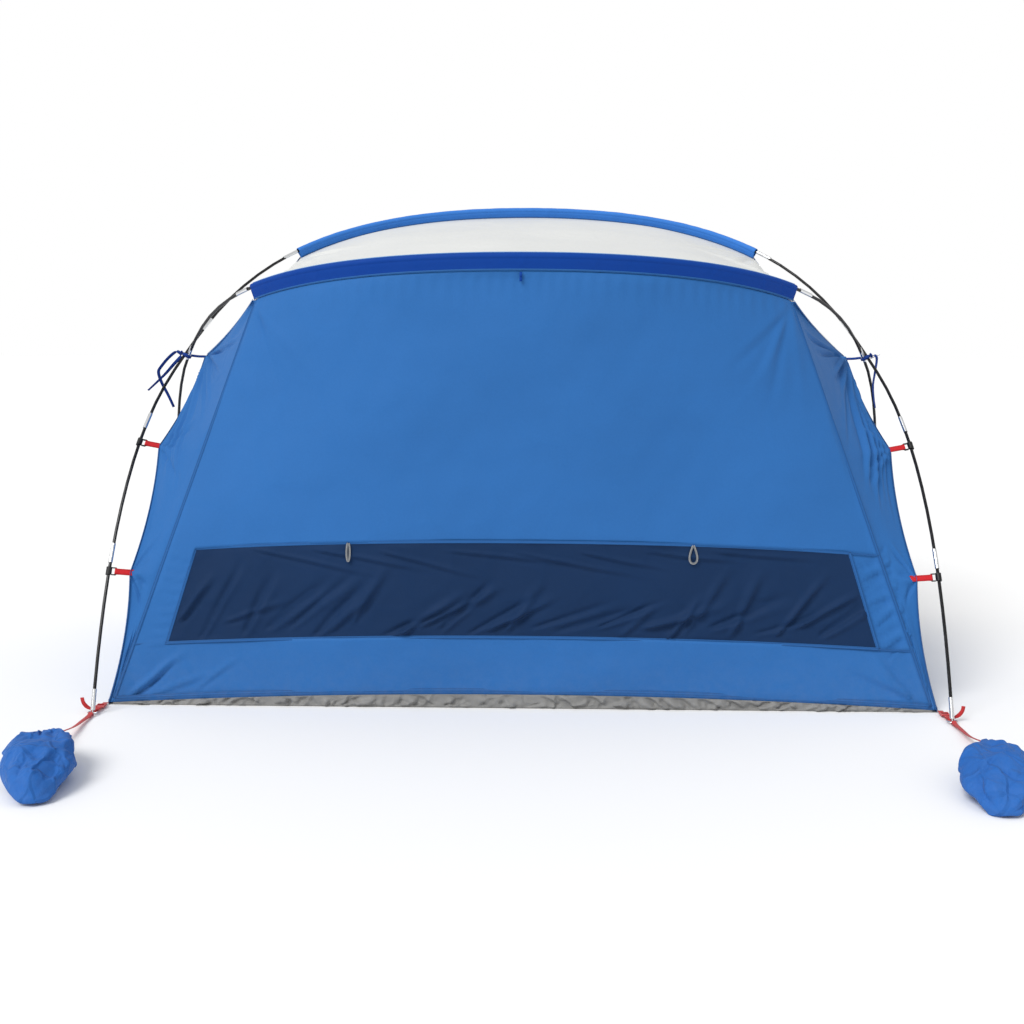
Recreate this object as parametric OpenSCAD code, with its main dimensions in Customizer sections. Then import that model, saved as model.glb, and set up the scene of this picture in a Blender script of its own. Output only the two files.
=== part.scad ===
// Tunnel tent: two crossed arch poles carry a half-open canopy with a closed rear wall.
// The origin is on the ground below the middle of the tent. +Y points out of the open front.

/* [Overall size] */
// Distance across the tent between the pole feet
tent_width = 2700; // [2200:10:3200]
// Distance from the rear pole feet to the front pole feet
tent_depth = 1780; // [1500:10:2200]
// Height of the front pole at its crown
front_height = 1725; // [1500:5:2000]
// Height of the rear pole at its crown
rear_height = 1450; // [1250:5:1650]

/* [Poles] */
// Outer diameter of the pole tube
pole_dia = 11; // [8.5:0.5:12.5]
// Bore of the pole tube
pole_bore = 5; // [4:0.5:6]
// Number of tube sections in each pole
pole_sections = 12; // [8:1:16]
// Wall of the metal ferrules
ferrule_wall = 1.4; // [0.8:0.1:2]
// Length of each ferrule
ferrule_length = 66; // [40:1:90]
// Diameter of the elastic cord inside the poles
shock_cord_dia = 3; // [2:0.5:3.5]

/* [Canopy] */
// Thickness of the fabric panels as solids
cloth_thick = 2; // [1.5:0.5:4]
// Length of the front pole sleeve
front_sleeve_length = 1980; // [1600:10:2200]
// Length of the rear pole sleeve
rear_sleeve_length = 1960; // [1600:10:2200]
// Drop of the rear sleeve below its pole
rear_sleeve_drop = 44; // [30:1:60]
// Drop of the front sleeve below its pole
front_sleeve_drop = 30; // [24:1:60]
// Distance from the canopy's side point to the pole crossing
tie_reach = 72; // [50:1:100]
// Height of the window's sill above the bottom of the rear wall, as a share of the wall
window_sill = 0.14; // [0.1:0.01:0.2]
// Height of the window's head, as a share of the wall
window_head = 0.37; // [0.3:0.01:0.5]
// Half width of the window, as a share of the rear panel
window_share = 0.91; // [0.7:0.01:0.94]
// Gap between the window mesh and the flap behind it
flap_gap = 10; // [6:1:20]

/* [Floor] */
// Thickness of the groundsheet
floor_thick = 3; // [2:0.5:5]
// Distance from the pole feet to the groundsheet's edge
floor_inset = 122; // [100:1:160]
// Lift of the rear hem above the ground at mid width
hem_lift = 46; // [30:1:70]

/* [Pole clips] */
// Gap between the low clip and the ferrule next to it
low_clip_gap = 16; // [4:1:60]
// Gap between the high clip and the ferrule next to it
high_clip_gap = 46; // [4:1:80]
// Distance from the pole to the canopy edge at a clip
tab_reach = 68; // [56:1:90]
// Width of the red webbing tabs
tab_width = 20; // [15:1:25]
// Length of a clip along the pole
clip_length = 26; // [20:1:32]

/* [Corners] */
// Mean radius of the corner ring
ring_radius = 15; // [13:0.5:20]
// Wire diameter of the corner ring
ring_wire = 4; // [3:0.5:5]
// Height of the ring's middle above the ground
ring_height = 9; // [8:0.5:12]
// Length of the pin inside the pole foot
pin_length = 45; // [30:1:60]
// Width of the corner webbing
webbing_width = 20; // [15:1:25]
// Thickness of all webbing
webbing_thick = 1.6; // [1:0.2:2]
// Width of the sandbag strap
strap_width = 15; // [10:1:20]
// Length of the sandbag strap
strap_length = 380; // [250:10:450]
// Length of a filled sandbag
bag_length = 400; // [300:10:500]
// Width of a filled sandbag
bag_width = 190; // [150:5:240]
// Height of a filled sandbag
bag_height = 118; // [90:2:150]

/* [Hidden] */

half_width = tent_width / 2;
half_depth = tent_depth / 2;
fit_gap = 0.3;
ferrule_radius = pole_dia / 2 + ferrule_wall;
foot_lift = ring_height + ring_wire / 2 + 0.78 * ferrule_radius;
left = -1;
right = 1;
rear = -1;
front = 1;

// Vector helpers
function unit(v) = v / norm(v);
function lerp(a, b, t) = a + (b - a) * t;
function square_to(v, t) = unit(v - (v * t) * t);
function flip(p, side) = [p[0] * side, p[1], p[2]];
function bezier(p, t) = pow(1 - t, 3) * p[0] + 3 * pow(1 - t, 2) * t * p[1]
    + 3 * (1 - t) * t * t * p[2] + pow(t, 3) * p[3];

// Where the two poles cross on the right side, and the way each one runs there, going up
cross_point = [0.922 * half_width, -0.15 * half_depth, 0.653 * front_height];
front_lean = [-0.039 * half_width, 0.143 * half_depth, 0.07 * front_height];
rear_lean = [-0.087 * half_width, -0.166 * half_depth, 0.13 * rear_height];
cross_normal = unit(cross(unit(front_lean), unit(rear_lean)));
cross_shift = (pole_dia / 2 + ferrule_wall / 2 + fit_gap) * cross_normal;

// Right half of each pole as two Bezier curves that join at the crossing
front_cross = cross_point + cross_shift;
front_crown = [0, 0.655 * half_depth, front_height];
front_low = [[half_width, -half_depth, foot_lift],
    [1.02 * half_width, -0.64 * half_depth, 0.47 * front_height],
    front_cross - front_lean, front_cross];
front_high = [front_cross, front_cross + 1.68 * front_lean,
    front_crown + [0.763 * half_width, 0, 0], front_crown];
rear_cross = cross_point - cross_shift;
rear_crown = [0, -0.965 * half_depth, rear_height];
rear_low = [[half_width, half_depth, foot_lift],
    [1.122 * half_width, 0.724 * half_depth, 0.232 * rear_height],
    rear_cross - rear_lean, rear_cross];
rear_high = [rear_cross, rear_cross + 1.09 * rear_lean,
    rear_crown + [0.655 * half_width, 0, 0], rear_crown];

// A whole pole as points from the right foot over the crown to the left foot
curve_steps = 40;
function half_pole(leg, arch) = concat(
    [for (i = [0 : curve_steps - 1]) bezier(leg, i / curve_steps)],
    [for (i = [0 : curve_steps]) bezier(arch, i / curve_steps)]);
function whole_pole(half) = concat(half, [for (i = [len(half) - 2 : -1 : 0]) flip(half[i], left)]);
function run_lengths(p) = [for (i = 0, a = 0; i < len(p);
    a = a + (i < len(p) - 1 ? norm(p[i + 1] - p[i]) : 0), i = i + 1) a];
function route_tables(p, runs) = [for (k = [0 : 2]) [for (i = [0 : len(p) - 1]) [runs[i], p[i][k]]]];
front_points = whole_pole(half_pole(front_low, front_high));
rear_points = whole_pole(half_pole(rear_low, rear_high));
front_runs = run_lengths(front_points);
rear_runs = run_lengths(rear_points);
front_route = route_tables(front_points, front_runs);
rear_route = route_tables(rear_points, rear_runs);
front_length = front_runs[len(front_runs) - 1];
rear_length = rear_runs[len(rear_runs) - 1];
function at(route, s) = [for (k = [0 : 2]) lookup(s, route[k])];
function heading(route, s) = unit(at(route, s + 4) - at(route, s - 4));

// Each tube section is straight between its stations, with a small gap to the next section
section_spans = 6;
section_gap = 1;
function station(length, k, i) = let (pitch = length / pole_sections)
    k * pitch + section_gap / 2 + i * (pitch - section_gap) / section_spans;

// The canopy's edge is held to each pole leg by a low and a high clip, next to the first two
// ferrules. The front pole stands on the rear feet. Its clips sit below the ferrules, and the
// rear pole's sit above them.
low = 0;
high = 1;
rear_tab_way = [-0.97, 0.15, -0.1];
front_tab_way = [-0.97, -0.1, -0.1];
function leg_route(end) = end == rear ? front_route : rear_route;
function leg_pitch(end) = (end == rear ? front_length : rear_length) / pole_sections;
function clip_offset(level) = (ferrule_length + clip_length) / 2
    + (level == low ? low_clip_gap : high_clip_gap);
function clip_run(end, level) = (level + 1) * leg_pitch(end) + end * clip_offset(level);
function clip_point(end, level) = at(leg_route(end), clip_run(end, level));
function clip_up(end, level) = heading(leg_route(end), clip_run(end, level));
function clip_way(end, level) = square_to(end == rear ? rear_tab_way : front_tab_way, clip_up(end, level));
function pull_point(end, level) = clip_point(end, level) + tab_reach * clip_way(end, level);

// Corner and side points of the canopy on the right side
corner_width = half_width - 10;
floor_edge = half_depth - floor_inset;
seam_inset = 14;
hem_height = 8;
side_point = cross_point - [tie_reach, 0, 4];
side_point_gap = 12;
edge_steps = 6;
function scallop(a, b, pull) = [for (i = [0 : edge_steps])
    let (t = i / edge_steps) pow(1 - t, 2) * a + 2 * t * (1 - t) * ((a + b) / 2 + 2 * pull) + t * t * b];
function joined(a, b) = concat([for (i = [0 : len(a) - 2]) a[i]], b);
function leg_edge(end, pull, foot, tip) = joined(joined(
    scallop(foot, pull_point(end, low), pull),
    scallop(pull_point(end, low), pull_point(end, high), pull)),
    scallop(pull_point(end, high), tip, pull));

// Sleeves follow the poles and hang below them
function sleeve_down(route, s) = square_to([0, 0, -1], heading(route, s));
function sleeve_edge(route, length, reach, share, drop) =
    let (s = length / 2 - share * reach) at(route, s) + drop * sleeve_down(route, s);
rear_sleeve_reach = rear_sleeve_length / 2 - seam_inset;
front_sleeve_reach = front_sleeve_length / 2 - seam_inset;
function rear_top(share) = sleeve_edge(rear_route, rear_length, rear_sleeve_reach, share, rear_sleeve_drop);
function front_top(share) = sleeve_edge(front_route, front_length, front_sleeve_reach, share,
    front_sleeve_drop);

// Rear panel: straight rows run from the hem to the sleeve
function rear_hem(share) = [share * (corner_width - seam_inset), -floor_edge,
    hem_height + (hem_lift - hem_height) * (1 - share * share)];
function rear_panel(share, rise) = lerp(rear_hem(share), rear_top(share), rise);
rear_seam_low = rear_hem(1);
rear_seam_high = rear_top(1);
function rear_seam(z) = lerp(rear_seam_low, rear_seam_high,
    (z - rear_seam_low[2]) / (rear_seam_high[2] - rear_seam_low[2]));

// Canopy edges on the right side, from the ground up
rear_tip = side_point - [0, side_point_gap, 0];
front_tip = side_point + [0, side_point_gap, 0];
rear_leg_edge = leg_edge(rear, [-14, 10, 0], [corner_width, -floor_edge, hem_height], rear_tip);
front_leg_edge = leg_edge(front, [-14, -12, 0], [corner_width, floor_edge, hem_height], front_tip);
rear_wing_edge = scallop(rear_tip, rear_seam_high + [seam_inset, 0, -6], [-20, -4, -12]);
front_wing_edge = scallop(front_tip, front_top(1) + [seam_inset, 0, -6], [-20, 0, -12]);

// A closed sheet of even thickness through a grid of points
module sheet(grid, thick) {
    rows = len(grid);
    cols = len(grid[0]);
    function slope_u(j, i) = grid[j][min(i + 1, cols - 1)] - grid[j][max(i - 1, 0)];
    function slope_v(j, i) = grid[min(j + 1, rows - 1)][i] - grid[max(j - 1, 0)][i];
    function normal(j, i) = unit(cross(slope_u(j, i), slope_v(j, i)));
    skin = [for (way = [1, -1]) for (j = [0 : rows - 1]) for (i = [0 : cols - 1])
        grid[j][i] + way * thick / 2 * normal(j, i)];
    back = rows * cols;
    function id(j, i) = j * cols + i;
    faces = concat(
        [for (j = [0 : rows - 2]) for (i = [0 : cols - 2])
            each [[id(j, i), id(j + 1, i + 1), id(j, i + 1)], [id(j, i), id(j + 1, i), id(j + 1, i + 1)]]],
        [for (j = [0 : rows - 2]) for (i = [0 : cols - 2])
            each [[back + id(j, i), back + id(j, i + 1), back + id(j + 1, i + 1)],
                [back + id(j, i), back + id(j + 1, i + 1), back + id(j + 1, i)]]],
        [for (i = [0 : cols - 2])
            each [[id(0, i), id(0, i + 1), back + id(0, i + 1)],
                [id(0, i), back + id(0, i + 1), back + id(0, i)],
                [id(rows - 1, i + 1), id(rows - 1, i), back + id(rows - 1, i)],
                [id(rows - 1, i + 1), back + id(rows - 1, i), back + id(rows - 1, i + 1)]]],
        [for (j = [0 : rows - 2])
            each [[id(j + 1, 0), id(j, 0), back + id(j, 0)],
                [id(j + 1, 0), back + id(j, 0), back + id(j + 1, 0)],
                [id(j, cols - 1), id(j + 1, cols - 1), back + id(j + 1, cols - 1)],
                [id(j, cols - 1), back + id(j + 1, cols - 1), back + id(j, cols - 1)]]]);
    polyhedron(skin, faces);
}

// Rings of points that carry a flat outline along a path. The outline's y runs along "side".
function path_heading(path, i) = unit(path[min(i + 1, len(path) - 1)] - path[max(i - 1, 0)]);
function ring_at(p, way, side, outline) =
    let (y = square_to(side, way), x = cross(y, way)) [for (q = outline) p + q[0] * x + q[1] * y];
function rings(path, side, outline) =
    [for (i = [0 : len(path) - 1]) each ring_at(path[i], path_heading(path, i), side, outline)];
function wall_faces(count, n, base, out) = [for (j = [0 : count - 2]) for (i = [0 : n - 1])
    let (a = base + j * n + i, b = base + j * n + (i + 1) % n)
    each (out ? [[a, b + n, b], [a, a + n, b + n]] : [[a, b, b + n], [a, b + n, a + n]])];

// A solid bar with this outline along a path
module sweep(path, side, outline) {
    n = len(outline);
    last = (len(path) - 1) * n;
    polyhedron(rings(path, side, outline), concat(wall_faces(len(path), n, 0, true),
        [[for (i = [0 : n - 1]) i], [for (i = [n - 1 : -1 : 0]) last + i]]));
}

// A tube with an outer and an inner outline of the same number of points
module hollow_sweep(path, side, outer, inner) {
    n = len(outer);
    base = len(path) * n;
    last = (len(path) - 1) * n;
    function rim(a, b) = [for (i = [0 : n - 1]) let (k = (i + 1) % n)
        each [[a + i, a + k, b + k], [a + i, b + k, b + i]]];
    function far_rim(a, b) = [for (i = [0 : n - 1]) let (k = (i + 1) % n)
        each [[a + k, a + i, b + i], [a + k, b + i, b + k]]];
    polyhedron(concat(rings(path, side, outer), rings(path, side, inner)),
        concat(wall_faces(len(path), n, 0, true), wall_faces(len(path), n, base, false),
            rim(0, base), far_rim(last, base + last)));
}
function disc(r, n) = [for (i = [0 : n - 1]) r * [cos(360 * i / n), sin(360 * i / n)]];
function slab(width, thick) = [[-width / 2, -thick / 2], [width / 2, -thick / 2],
    [width / 2, thick / 2], [-width / 2, thick / 2]];

// Places children with their X along "way" and their Z along "up"
module place(p, way, up) {
    x = square_to(way, up);
    y = cross(up, x);
    multmatrix([[x[0], y[0], up[0], p[0]], [x[1], y[1], up[1], p[1]],
        [x[2], y[2], up[2], p[2]], [0, 0, 0, 1]])
        children();
}
module on_side(side) {
    mirror([side == left ? 1 : 0, 0, 0]) children();
}

// Poles: tube sections, ferrules over their joints, and an elastic cord through them
pole_sides = 10;
module pole(route, length) {
    for (k = [0 : pole_sections - 1])
        hollow_sweep([for (i = [0 : section_spans]) at(route, station(length, k, i))],
            [0, 1, 0], disc(pole_dia / 2, pole_sides), disc(pole_bore / 2, pole_sides));
}
module ferrule(route, s) {
    up = heading(route, s);
    place(at(route, s), [0, 1, 0], up)
        difference() {
            cylinder(r = ferrule_radius, h = ferrule_length, center = true, $fn = 40);
            cylinder(r = pole_dia / 2 + 0.05, h = ferrule_length + 2, center = true, $fn = 40);
        }
}
module ferrules(route, length) {
    pitch = length / pole_sections;
    ferrule(route, ferrule_length / 2);
    ferrule(route, length - ferrule_length / 2);
    for (k = [1 : pole_sections - 1])
        ferrule(route, k * pitch);
}
cord_end = pin_length + 12;
module shock_cord(route, length) {
    runs = [for (k = [0 : pole_sections - 1]) for (i = [0 : section_spans]) station(length, k, i)];
    cord_runs = [for (s = runs) if (s > cord_end && s < length - cord_end) s];
    sweep([for (s = cord_runs) at(route, s)], [0, 1, 0], disc(shock_cord_dia / 2, 8));
}

// Sleeves: a channel round the pole with a flat seam below it
tight_bend = 450;
sleeve_spans = 44;
sleeve_span = max(front_sleeve_length, rear_sleeve_length) / sleeve_spans;
channel_slack = 3 * fit_gap + (pow(ferrule_length, 2) + pow(sleeve_span, 2)) / (8 * tight_bend);
channel_radius = ferrule_radius + channel_slack;
sleeve_skin = 1.2;
function teardrop(radius, drop) = [
    for (a = [-50 : 28 : 230]) radius * [cos(a), sin(a)], [-sleeve_skin, -drop], [sleeve_skin, -drop]];
module sleeve(route, length, sleeve_length, drop) {
    path = [for (i = [0 : sleeve_spans])
        at(route, (length - sleeve_length) / 2 + i * sleeve_length / sleeve_spans)];
    inner_drop = channel_radius + 4;
    hollow_sweep(path, [0, 0, 1], teardrop(channel_radius + sleeve_skin, drop),
        [for (q = teardrop(channel_radius, inner_drop)) [q[0], max(q[1], -inner_drop)]]);
}

// Canopy panels
roof_cols = 24;
roof_rows = 6;
module roof_panel() {
    mid = [for (i = [0 : roof_cols]) 1 - 2 * i / roof_cols];
    back = concat(rear_wing_edge, [for (i = [1 : roof_cols - 1]) rear_top(mid[i])],
        [for (i = [edge_steps : -1 : 0]) flip(rear_wing_edge[i], left)]);
    ahead = concat(front_wing_edge, [for (i = [1 : roof_cols - 1]) front_top(mid[i])],
        [for (i = [edge_steps : -1 : 0]) flip(front_wing_edge[i], left)]);
    sheet([for (j = [0 : roof_rows]) [for (i = [0 : len(back) - 1]) lerp(back[i], ahead[i], j / roof_rows)]],
        cloth_thick);
}
wall_cols = 24;
module rear_band(sill, head, rows) {
    sheet([for (j = [0 : rows]) [for (i = [0 : wall_cols])
        rear_panel(-1 + 2 * i / wall_cols, lerp(sill, head, j / rows))]], cloth_thick);
}
flap_margin = 0.008;
module window_side(side) {
    sheet([for (j = [0 : 2]) [for (i = [0 : 2])
        rear_panel(side * (side == right ? lerp(window_share, 1, i / 2) : lerp(1, window_share, i / 2)),
            lerp(window_sill, window_head, j / 2))]], cloth_thick);
}
window_cols = 20;
window_rows = 3;
module window_sheet(margin, depth) {
    share = window_share - margin;
    sheet([for (j = [0 : window_rows]) [for (i = [0 : window_cols])
        rear_panel(share * (-1 + 2 * i / window_cols),
            lerp(window_sill + margin, window_head - margin, j / window_rows)) + [0, depth, 0]]],
        cloth_thick);
}
module rear_gusset() {
    outer = joined(rear_leg_edge, rear_wing_edge);
    gusset_cols = 4;
    sheet([for (p = outer) [for (i = [0 : gusset_cols]) lerp(rear_seam(p[2]), p, i / gusset_cols)]],
        cloth_thick);
}
module side_wall() {
    side_cols = 8;
    sheet([for (j = [0 : len(rear_leg_edge) - 1]) [for (i = [0 : side_cols])
        lerp(rear_leg_edge[j], front_leg_edge[j], i / side_cols)]], cloth_thick);
}

// Groundsheet and the strip of it that turns up under the rear hem
module floor_sheet() {
    translate([-corner_width, -floor_edge, 0])
        cube([2 * corner_width, 2 * floor_edge, floor_thick]);
}
module skirt() {
    sheet([for (j = [0 : 1]) [for (i = [0 : wall_cols])
        let (share = -1 + 2 * i / wall_cols, top = rear_hem(share))
        [top[0], -floor_edge + cloth_thick / 2, lerp(floor_thick, top[2] - 1.2, j)]]], cloth_thick);
}

// Pole clip: a hook open on one side, two cheeks and the bar that the webbing tab hangs on
bar_reach = 22;
bar_radius = 2;
eye_radius = bar_radius + 0.5;
hook_radius = pole_dia / 2 + 4;
hook_bore = pole_dia / 2 + 0.4;
cheek_thick = 2.5;
module clip_at(side, end, level) {
    on_side(side) place(clip_point(end, level), clip_way(end, level), clip_up(end, level)) children();
}
module pole_clip() {
    mouth_reach = 3.6;
    cheek_height = 7;
    difference() {
        union() {
            cylinder(r = hook_radius, h = clip_length, center = true, $fn = 48);
            for (way = [-1, 1])
                translate([0, -cheek_height / 2, way * (clip_length - cheek_thick) / 2 - cheek_thick / 2])
                    cube([bar_reach, cheek_height, cheek_thick]);
        }
        cylinder(r = hook_bore, h = clip_length + 2, center = true, $fn = 48);
        translate([-hook_bore, -hook_radius - 1, -clip_length / 2 - 1])
            cube([2 * hook_bore + mouth_reach, hook_radius + 1, clip_length + 2]);
    }
    translate([bar_reach, 0, 0])
        cylinder(r = bar_radius, h = clip_length, center = true, $fn = 32);
}

// Webbing tab: an eye round the clip's bar and two layers sewn to the canopy's edge
module webbing_tab() {
    tab_start = bar_reach + eye_radius;
    difference() {
        union() {
            translate([bar_reach, 0, 0])
                cylinder(r = eye_radius + webbing_thick, h = tab_width, center = true, $fn = 32);
            translate([tab_start, -webbing_thick, -tab_width / 2])
                cube([tab_reach - tab_start, 2 * webbing_thick, tab_width]);
        }
        translate([bar_reach, 0, 0])
            cylinder(r = eye_radius, h = tab_width + 2, center = true, $fn = 32);
    }
}
module tab_pair(side, end) {
    for (level = [low, high])
        clip_at(side, end, level) webbing_tab();
}

// Corner hardware is drawn at the right rear foot and mirrored to the others
module at_foot(side, end) {
    mirror([side == left ? 1 : 0, 0, 0]) mirror([0, end == front ? 1 : 0, 0])
        translate([half_width, -half_depth, 0]) children();
}
function foot_heading(end) = let (route = leg_route(end), length = leg_pitch(end) * pole_sections,
    h = unit(at(route, station(length, 0, 1)) - at(route, station(length, 0, 0))))
    [h[0], h[1] * (end == front ? -1 : 1), h[2]];
module ring_pin(end) {
    pin_radius = pole_bore / 2 - 0.5;
    translate([0, 0, ring_height]) {
        rotate_extrude($fn = 48)
            translate([ring_radius, 0])
                circle(d = ring_wire, $fn = 20);
        rotate([0, 90, 0])
            cylinder(d = ring_wire * 0.85, h = 2 * ring_radius, center = true, $fn = 24);
    }
    up = foot_heading(end);
    drop = (foot_lift - ring_height) / up[2];
    place([0, 0, foot_lift] - drop * up, [1, 0, 0], up)
        cylinder(r = pin_radius, h = pin_length, $fn = 24);
}
loop_radius = 5.2;
module ring_loop(width) {
    rotate([0, 90, 0])
        difference() {
            cylinder(r = loop_radius + webbing_thick, h = width, center = true, $fn = 32);
            cylinder(r = loop_radius, h = width + 2, center = true, $fn = 32);
        }
}
webbing_start = ring_radius + loop_radius + 0.4;
webbing_tail = [[0, 0, 0], [10, 0, 4], [22, -2, 12], [30, -6, 26], [32, -10, 42]];
tail_offset = 10;
module corner_webbing() {
    webbing_end = floor_inset - 0.6;
    translate([0, ring_radius, ring_height]) ring_loop(webbing_width * 0.8);
    translate([-webbing_width / 2, webbing_start, ring_height - webbing_thick / 2])
        cube([webbing_width, webbing_end - webbing_start, webbing_thick]);
    tail_start = [webbing_width / 2 - 1, webbing_start + tail_offset, ring_height];
    sweep([for (q = webbing_tail) tail_start + q], [0, 1, 0.1], slab(webbing_thick, webbing_width * 0.6));
}
adjuster_length = 24;
adjuster_start = 56;
module adjuster() {
    frame_height = 7;
    frame_width = webbing_width + 7;
    translate([0, webbing_start + adjuster_start, ring_height])
        difference() {
            union() {
                cube([frame_width, adjuster_length, frame_height], center = true);
                for (way = [-1, 1])
                    translate([0, way * adjuster_length / 2, 0])
                        rotate([0, 90, 0])
                            cylinder(d = frame_height, h = frame_width, center = true, $fn = 32);
            }
            cube([webbing_width + 0.8, 2 * adjuster_length, webbing_thick + 0.8], center = true);
            translate([0, 0, frame_height / 2])
                cube([webbing_width + 0.8, adjuster_length * 0.6, frame_height], center = true);
        }
}

// Sandbag and its strap
neck_height = 64;
neck_inset = 8;
strap_joint = 4;
bag_turn = 16;
neck_point = [-neck_inset, -ring_radius - strap_length, neck_height];
module bag_strap() {
    start = [0, -webbing_start, ring_height];
    finish = neck_point;
    sag = [0, 0, -14];
    translate([0, -ring_radius, ring_height]) ring_loop(strap_width);
    sweep([for (i = [0 : 10]) lerp(start, finish, i / 10) + sag * 4 * (i / 10) * (1 - i / 10)],
        [0, 0, 1], slab(strap_width, webbing_thick));
    translate(finish)
        rotate([0, 90, 0])
            cylinder(r = strap_joint, h = strap_width, center = true, $fn = 24);
}
// Each station is [share of length, share of half width, share of half height, lift of the middle]
bag_stations = [[0, 0.1, 0.14, 1], [0.05, 0.2, 0.24, 0.96], [0.14, 0.56, 0.6, 0.9], [0.28, 0.86, 0.88, 0.96],
    [0.45, 1, 1, 1], [0.62, 0.98, 0.96, 0.96], [0.78, 0.88, 0.84, 0.86], [0.9, 0.66, 0.6, 0.64],
    [0.97, 0.4, 0.34, 0.42], [1, 0.14, 0.12, 0.3]];
module sandbag() {
    n = 20;
    path_start = neck_point + [0, -strap_joint - 4, 0];
    half_height = bag_height / 2;
    points = [for (st = bag_stations) each [for (i = [0 : n - 1])
        let (a = 360 * i / n, y = -st[0] * bag_length, neck = pow(1 - min(st[0] / 0.28, 1), 2),
            mid = lerp(half_height * st[3], neck_height, neck),
            x = st[1] * bag_width / 2 * cos(a), z = max(mid + st[2] * half_height * sin(a), 0))
        [x, y, z - neck_height]]];
    last = (len(bag_stations) - 1) * n;
    translate(path_start)
        rotate([0, 0, -bag_turn])
            polyhedron(points, concat(wall_faces(len(bag_stations), n, 0, true),
                [[for (i = [0 : n - 1]) i], [for (i = [n - 1 : -1 : 0]) last + i]]));
}

// Fabric ties hold the poles together where they cross and carry the canopy's side point
tie_slack = 2.4;
tie_bore = norm(cross_shift) + ferrule_radius + tie_slack;
module pole_tie() {
    band_width = 8;
    way = unit(unit(front_lean) + unit(rear_lean));
    place(cross_point, cross_normal, way)
        difference() {
            cylinder(r = tie_bore + webbing_thick, h = band_width, center = true, $fn = 40);
            cylinder(r = tie_bore, h = band_width + 2, center = true, $fn = 40);
        }
    sweep([cross_point - [tie_bore + webbing_thick / 2, 0, 0], side_point + [4, 0, 0]], [0, 0, 1],
        slab(band_width, webbing_thick));
}
tail_width = 12;
tail_thick = 1.2;
left_long_tail = [[16, -4, 4], [34, -10, 14], [60, -16, -6], [88, -22, -40], [98, -24, -62], [88, -20, -100],
    [66, -16, -145], [46, -14, -190]];
left_short_tail = [[16, -10, -2], [40, -22, -30], [70, -30, -66], [102, -34, -98], [134, -36, -128]];
right_loop_tail = [[16, -6, 2], [30, -10, 10], [38, -12, -4], [32, -14, -50], [26, -14, -100],
    [30, -14, -150], [36, -14, -182]];
right_short_tail = [[16, -12, -2], [30, -22, 6], [44, -28, 12]];
module tie_tail(side, points) {
    sweep([for (p = points) flip(cross_point + p, side)], [0, 1, 0.1], slab(tail_thick, tail_width));
}

// Elastic loops under the window's head, and a small hanging loop under the rear sleeve
loop_cord_dia = 3;
window_loop_share = 0.465;
loop_drop = 60;
loop_stand_off = 2.8;
loop_lean = 5;
module window_loop(share, width) {
    top = rear_panel(share, window_head) - [0, cloth_thick / 2 + loop_stand_off, 0];
    sweep([for (a = [15 : 15 : 345]) let (fall = (1 - cos(a)) / 2)
        top + [width / 2 * sin(a), -loop_lean * fall, -loop_drop * fall]],
        [0, 1, 0.2], disc(loop_cord_dia / 2, 8));
}
hang_depth = 4;
hang_drop = 14;
hang_width = 8;
hang_thick = 1.2;
module hang_tab() {
    middle = rear_panel(0, 1) - [0, cloth_thick / 2 + hang_depth + 0.2, hang_drop + 6];
    sweep([for (a = [10 : 20 : 350]) middle + [0, -hang_depth * cos(a), hang_drop * sin(a)]],
        [1, 0, 0], slab(hang_thick, hang_width));
}

// Sub-parts
module front_pole() { color([0.03, 0.03, 0.035]) pole(front_route, front_length); }
module rear_pole() { color([0.03, 0.03, 0.035]) pole(rear_route, rear_length); }
module front_ferrules() { color([0.8, 0.81, 0.82]) ferrules(front_route, front_length); }
module rear_ferrules() { color([0.8, 0.81, 0.82]) ferrules(rear_route, rear_length); }
module front_shock_cord() { color([0.1, 0.1, 0.1]) shock_cord(front_route, front_length); }
module rear_shock_cord() { color([0.1, 0.1, 0.1]) shock_cord(rear_route, rear_length); }
module roof() { color([0.82, 0.82, 0.8]) roof_panel(); }
module front_sleeve() {
    color([0.25, 0.5, 0.84]) sleeve(front_route, front_length, front_sleeve_length, front_sleeve_drop);
}
module rear_sleeve() {
    color([0.03, 0.28, 0.6]) sleeve(rear_route, rear_length, rear_sleeve_length, rear_sleeve_drop);
}
module rear_wall_upper() { color([0.22, 0.46, 0.71]) rear_band(window_head, 1, 8); }
module rear_wall_lower() { color([0.22, 0.46, 0.71]) rear_band(0, window_sill, 2); }
module window_sides() {
    color([0.22, 0.46, 0.71]) {
        window_side(left);
        window_side(right);
    }
}
module window_mesh() { color([0.12, 0.22, 0.37]) window_sheet(0, 0); }
module window_flap() { color([0.16, 0.36, 0.6]) window_sheet(flap_margin, flap_gap); }
module gusset(side) { color([0.22, 0.46, 0.71]) on_side(side) rear_gusset(); }
module wall(side) { color([0.2, 0.42, 0.68]) on_side(side) side_wall(); }
module floor() { color([0.55, 0.55, 0.54]) floor_sheet(); }
module floor_skirt() { color([0.55, 0.55, 0.54]) skirt(); }
module corner_webbing_at(side, end) { color([0.75, 0.1, 0.12]) at_foot(side, end) corner_webbing(); }
module adjuster_at(side, end) { color([0.7, 0.08, 0.1]) at_foot(side, end) adjuster(); }
module ring_pin_at(side, end) { color([0.78, 0.79, 0.8]) at_foot(side, end) ring_pin(end); }
module bag_strap_at(side, end) { color([0.8, 0.3, 0.3]) at_foot(side, end) bag_strap(); }
module sandbag_at(side, end) { color([0.22, 0.46, 0.71]) at_foot(side, end) sandbag(); }
module clip(side, end, level) { color([0.05, 0.05, 0.05]) clip_at(side, end, level) pole_clip(); }
module tabs(side, end) { color([0.75, 0.1, 0.12]) tab_pair(side, end); }
module tie(side) { color([0.05, 0.12, 0.4]) on_side(side) pole_tie(); }
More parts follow.
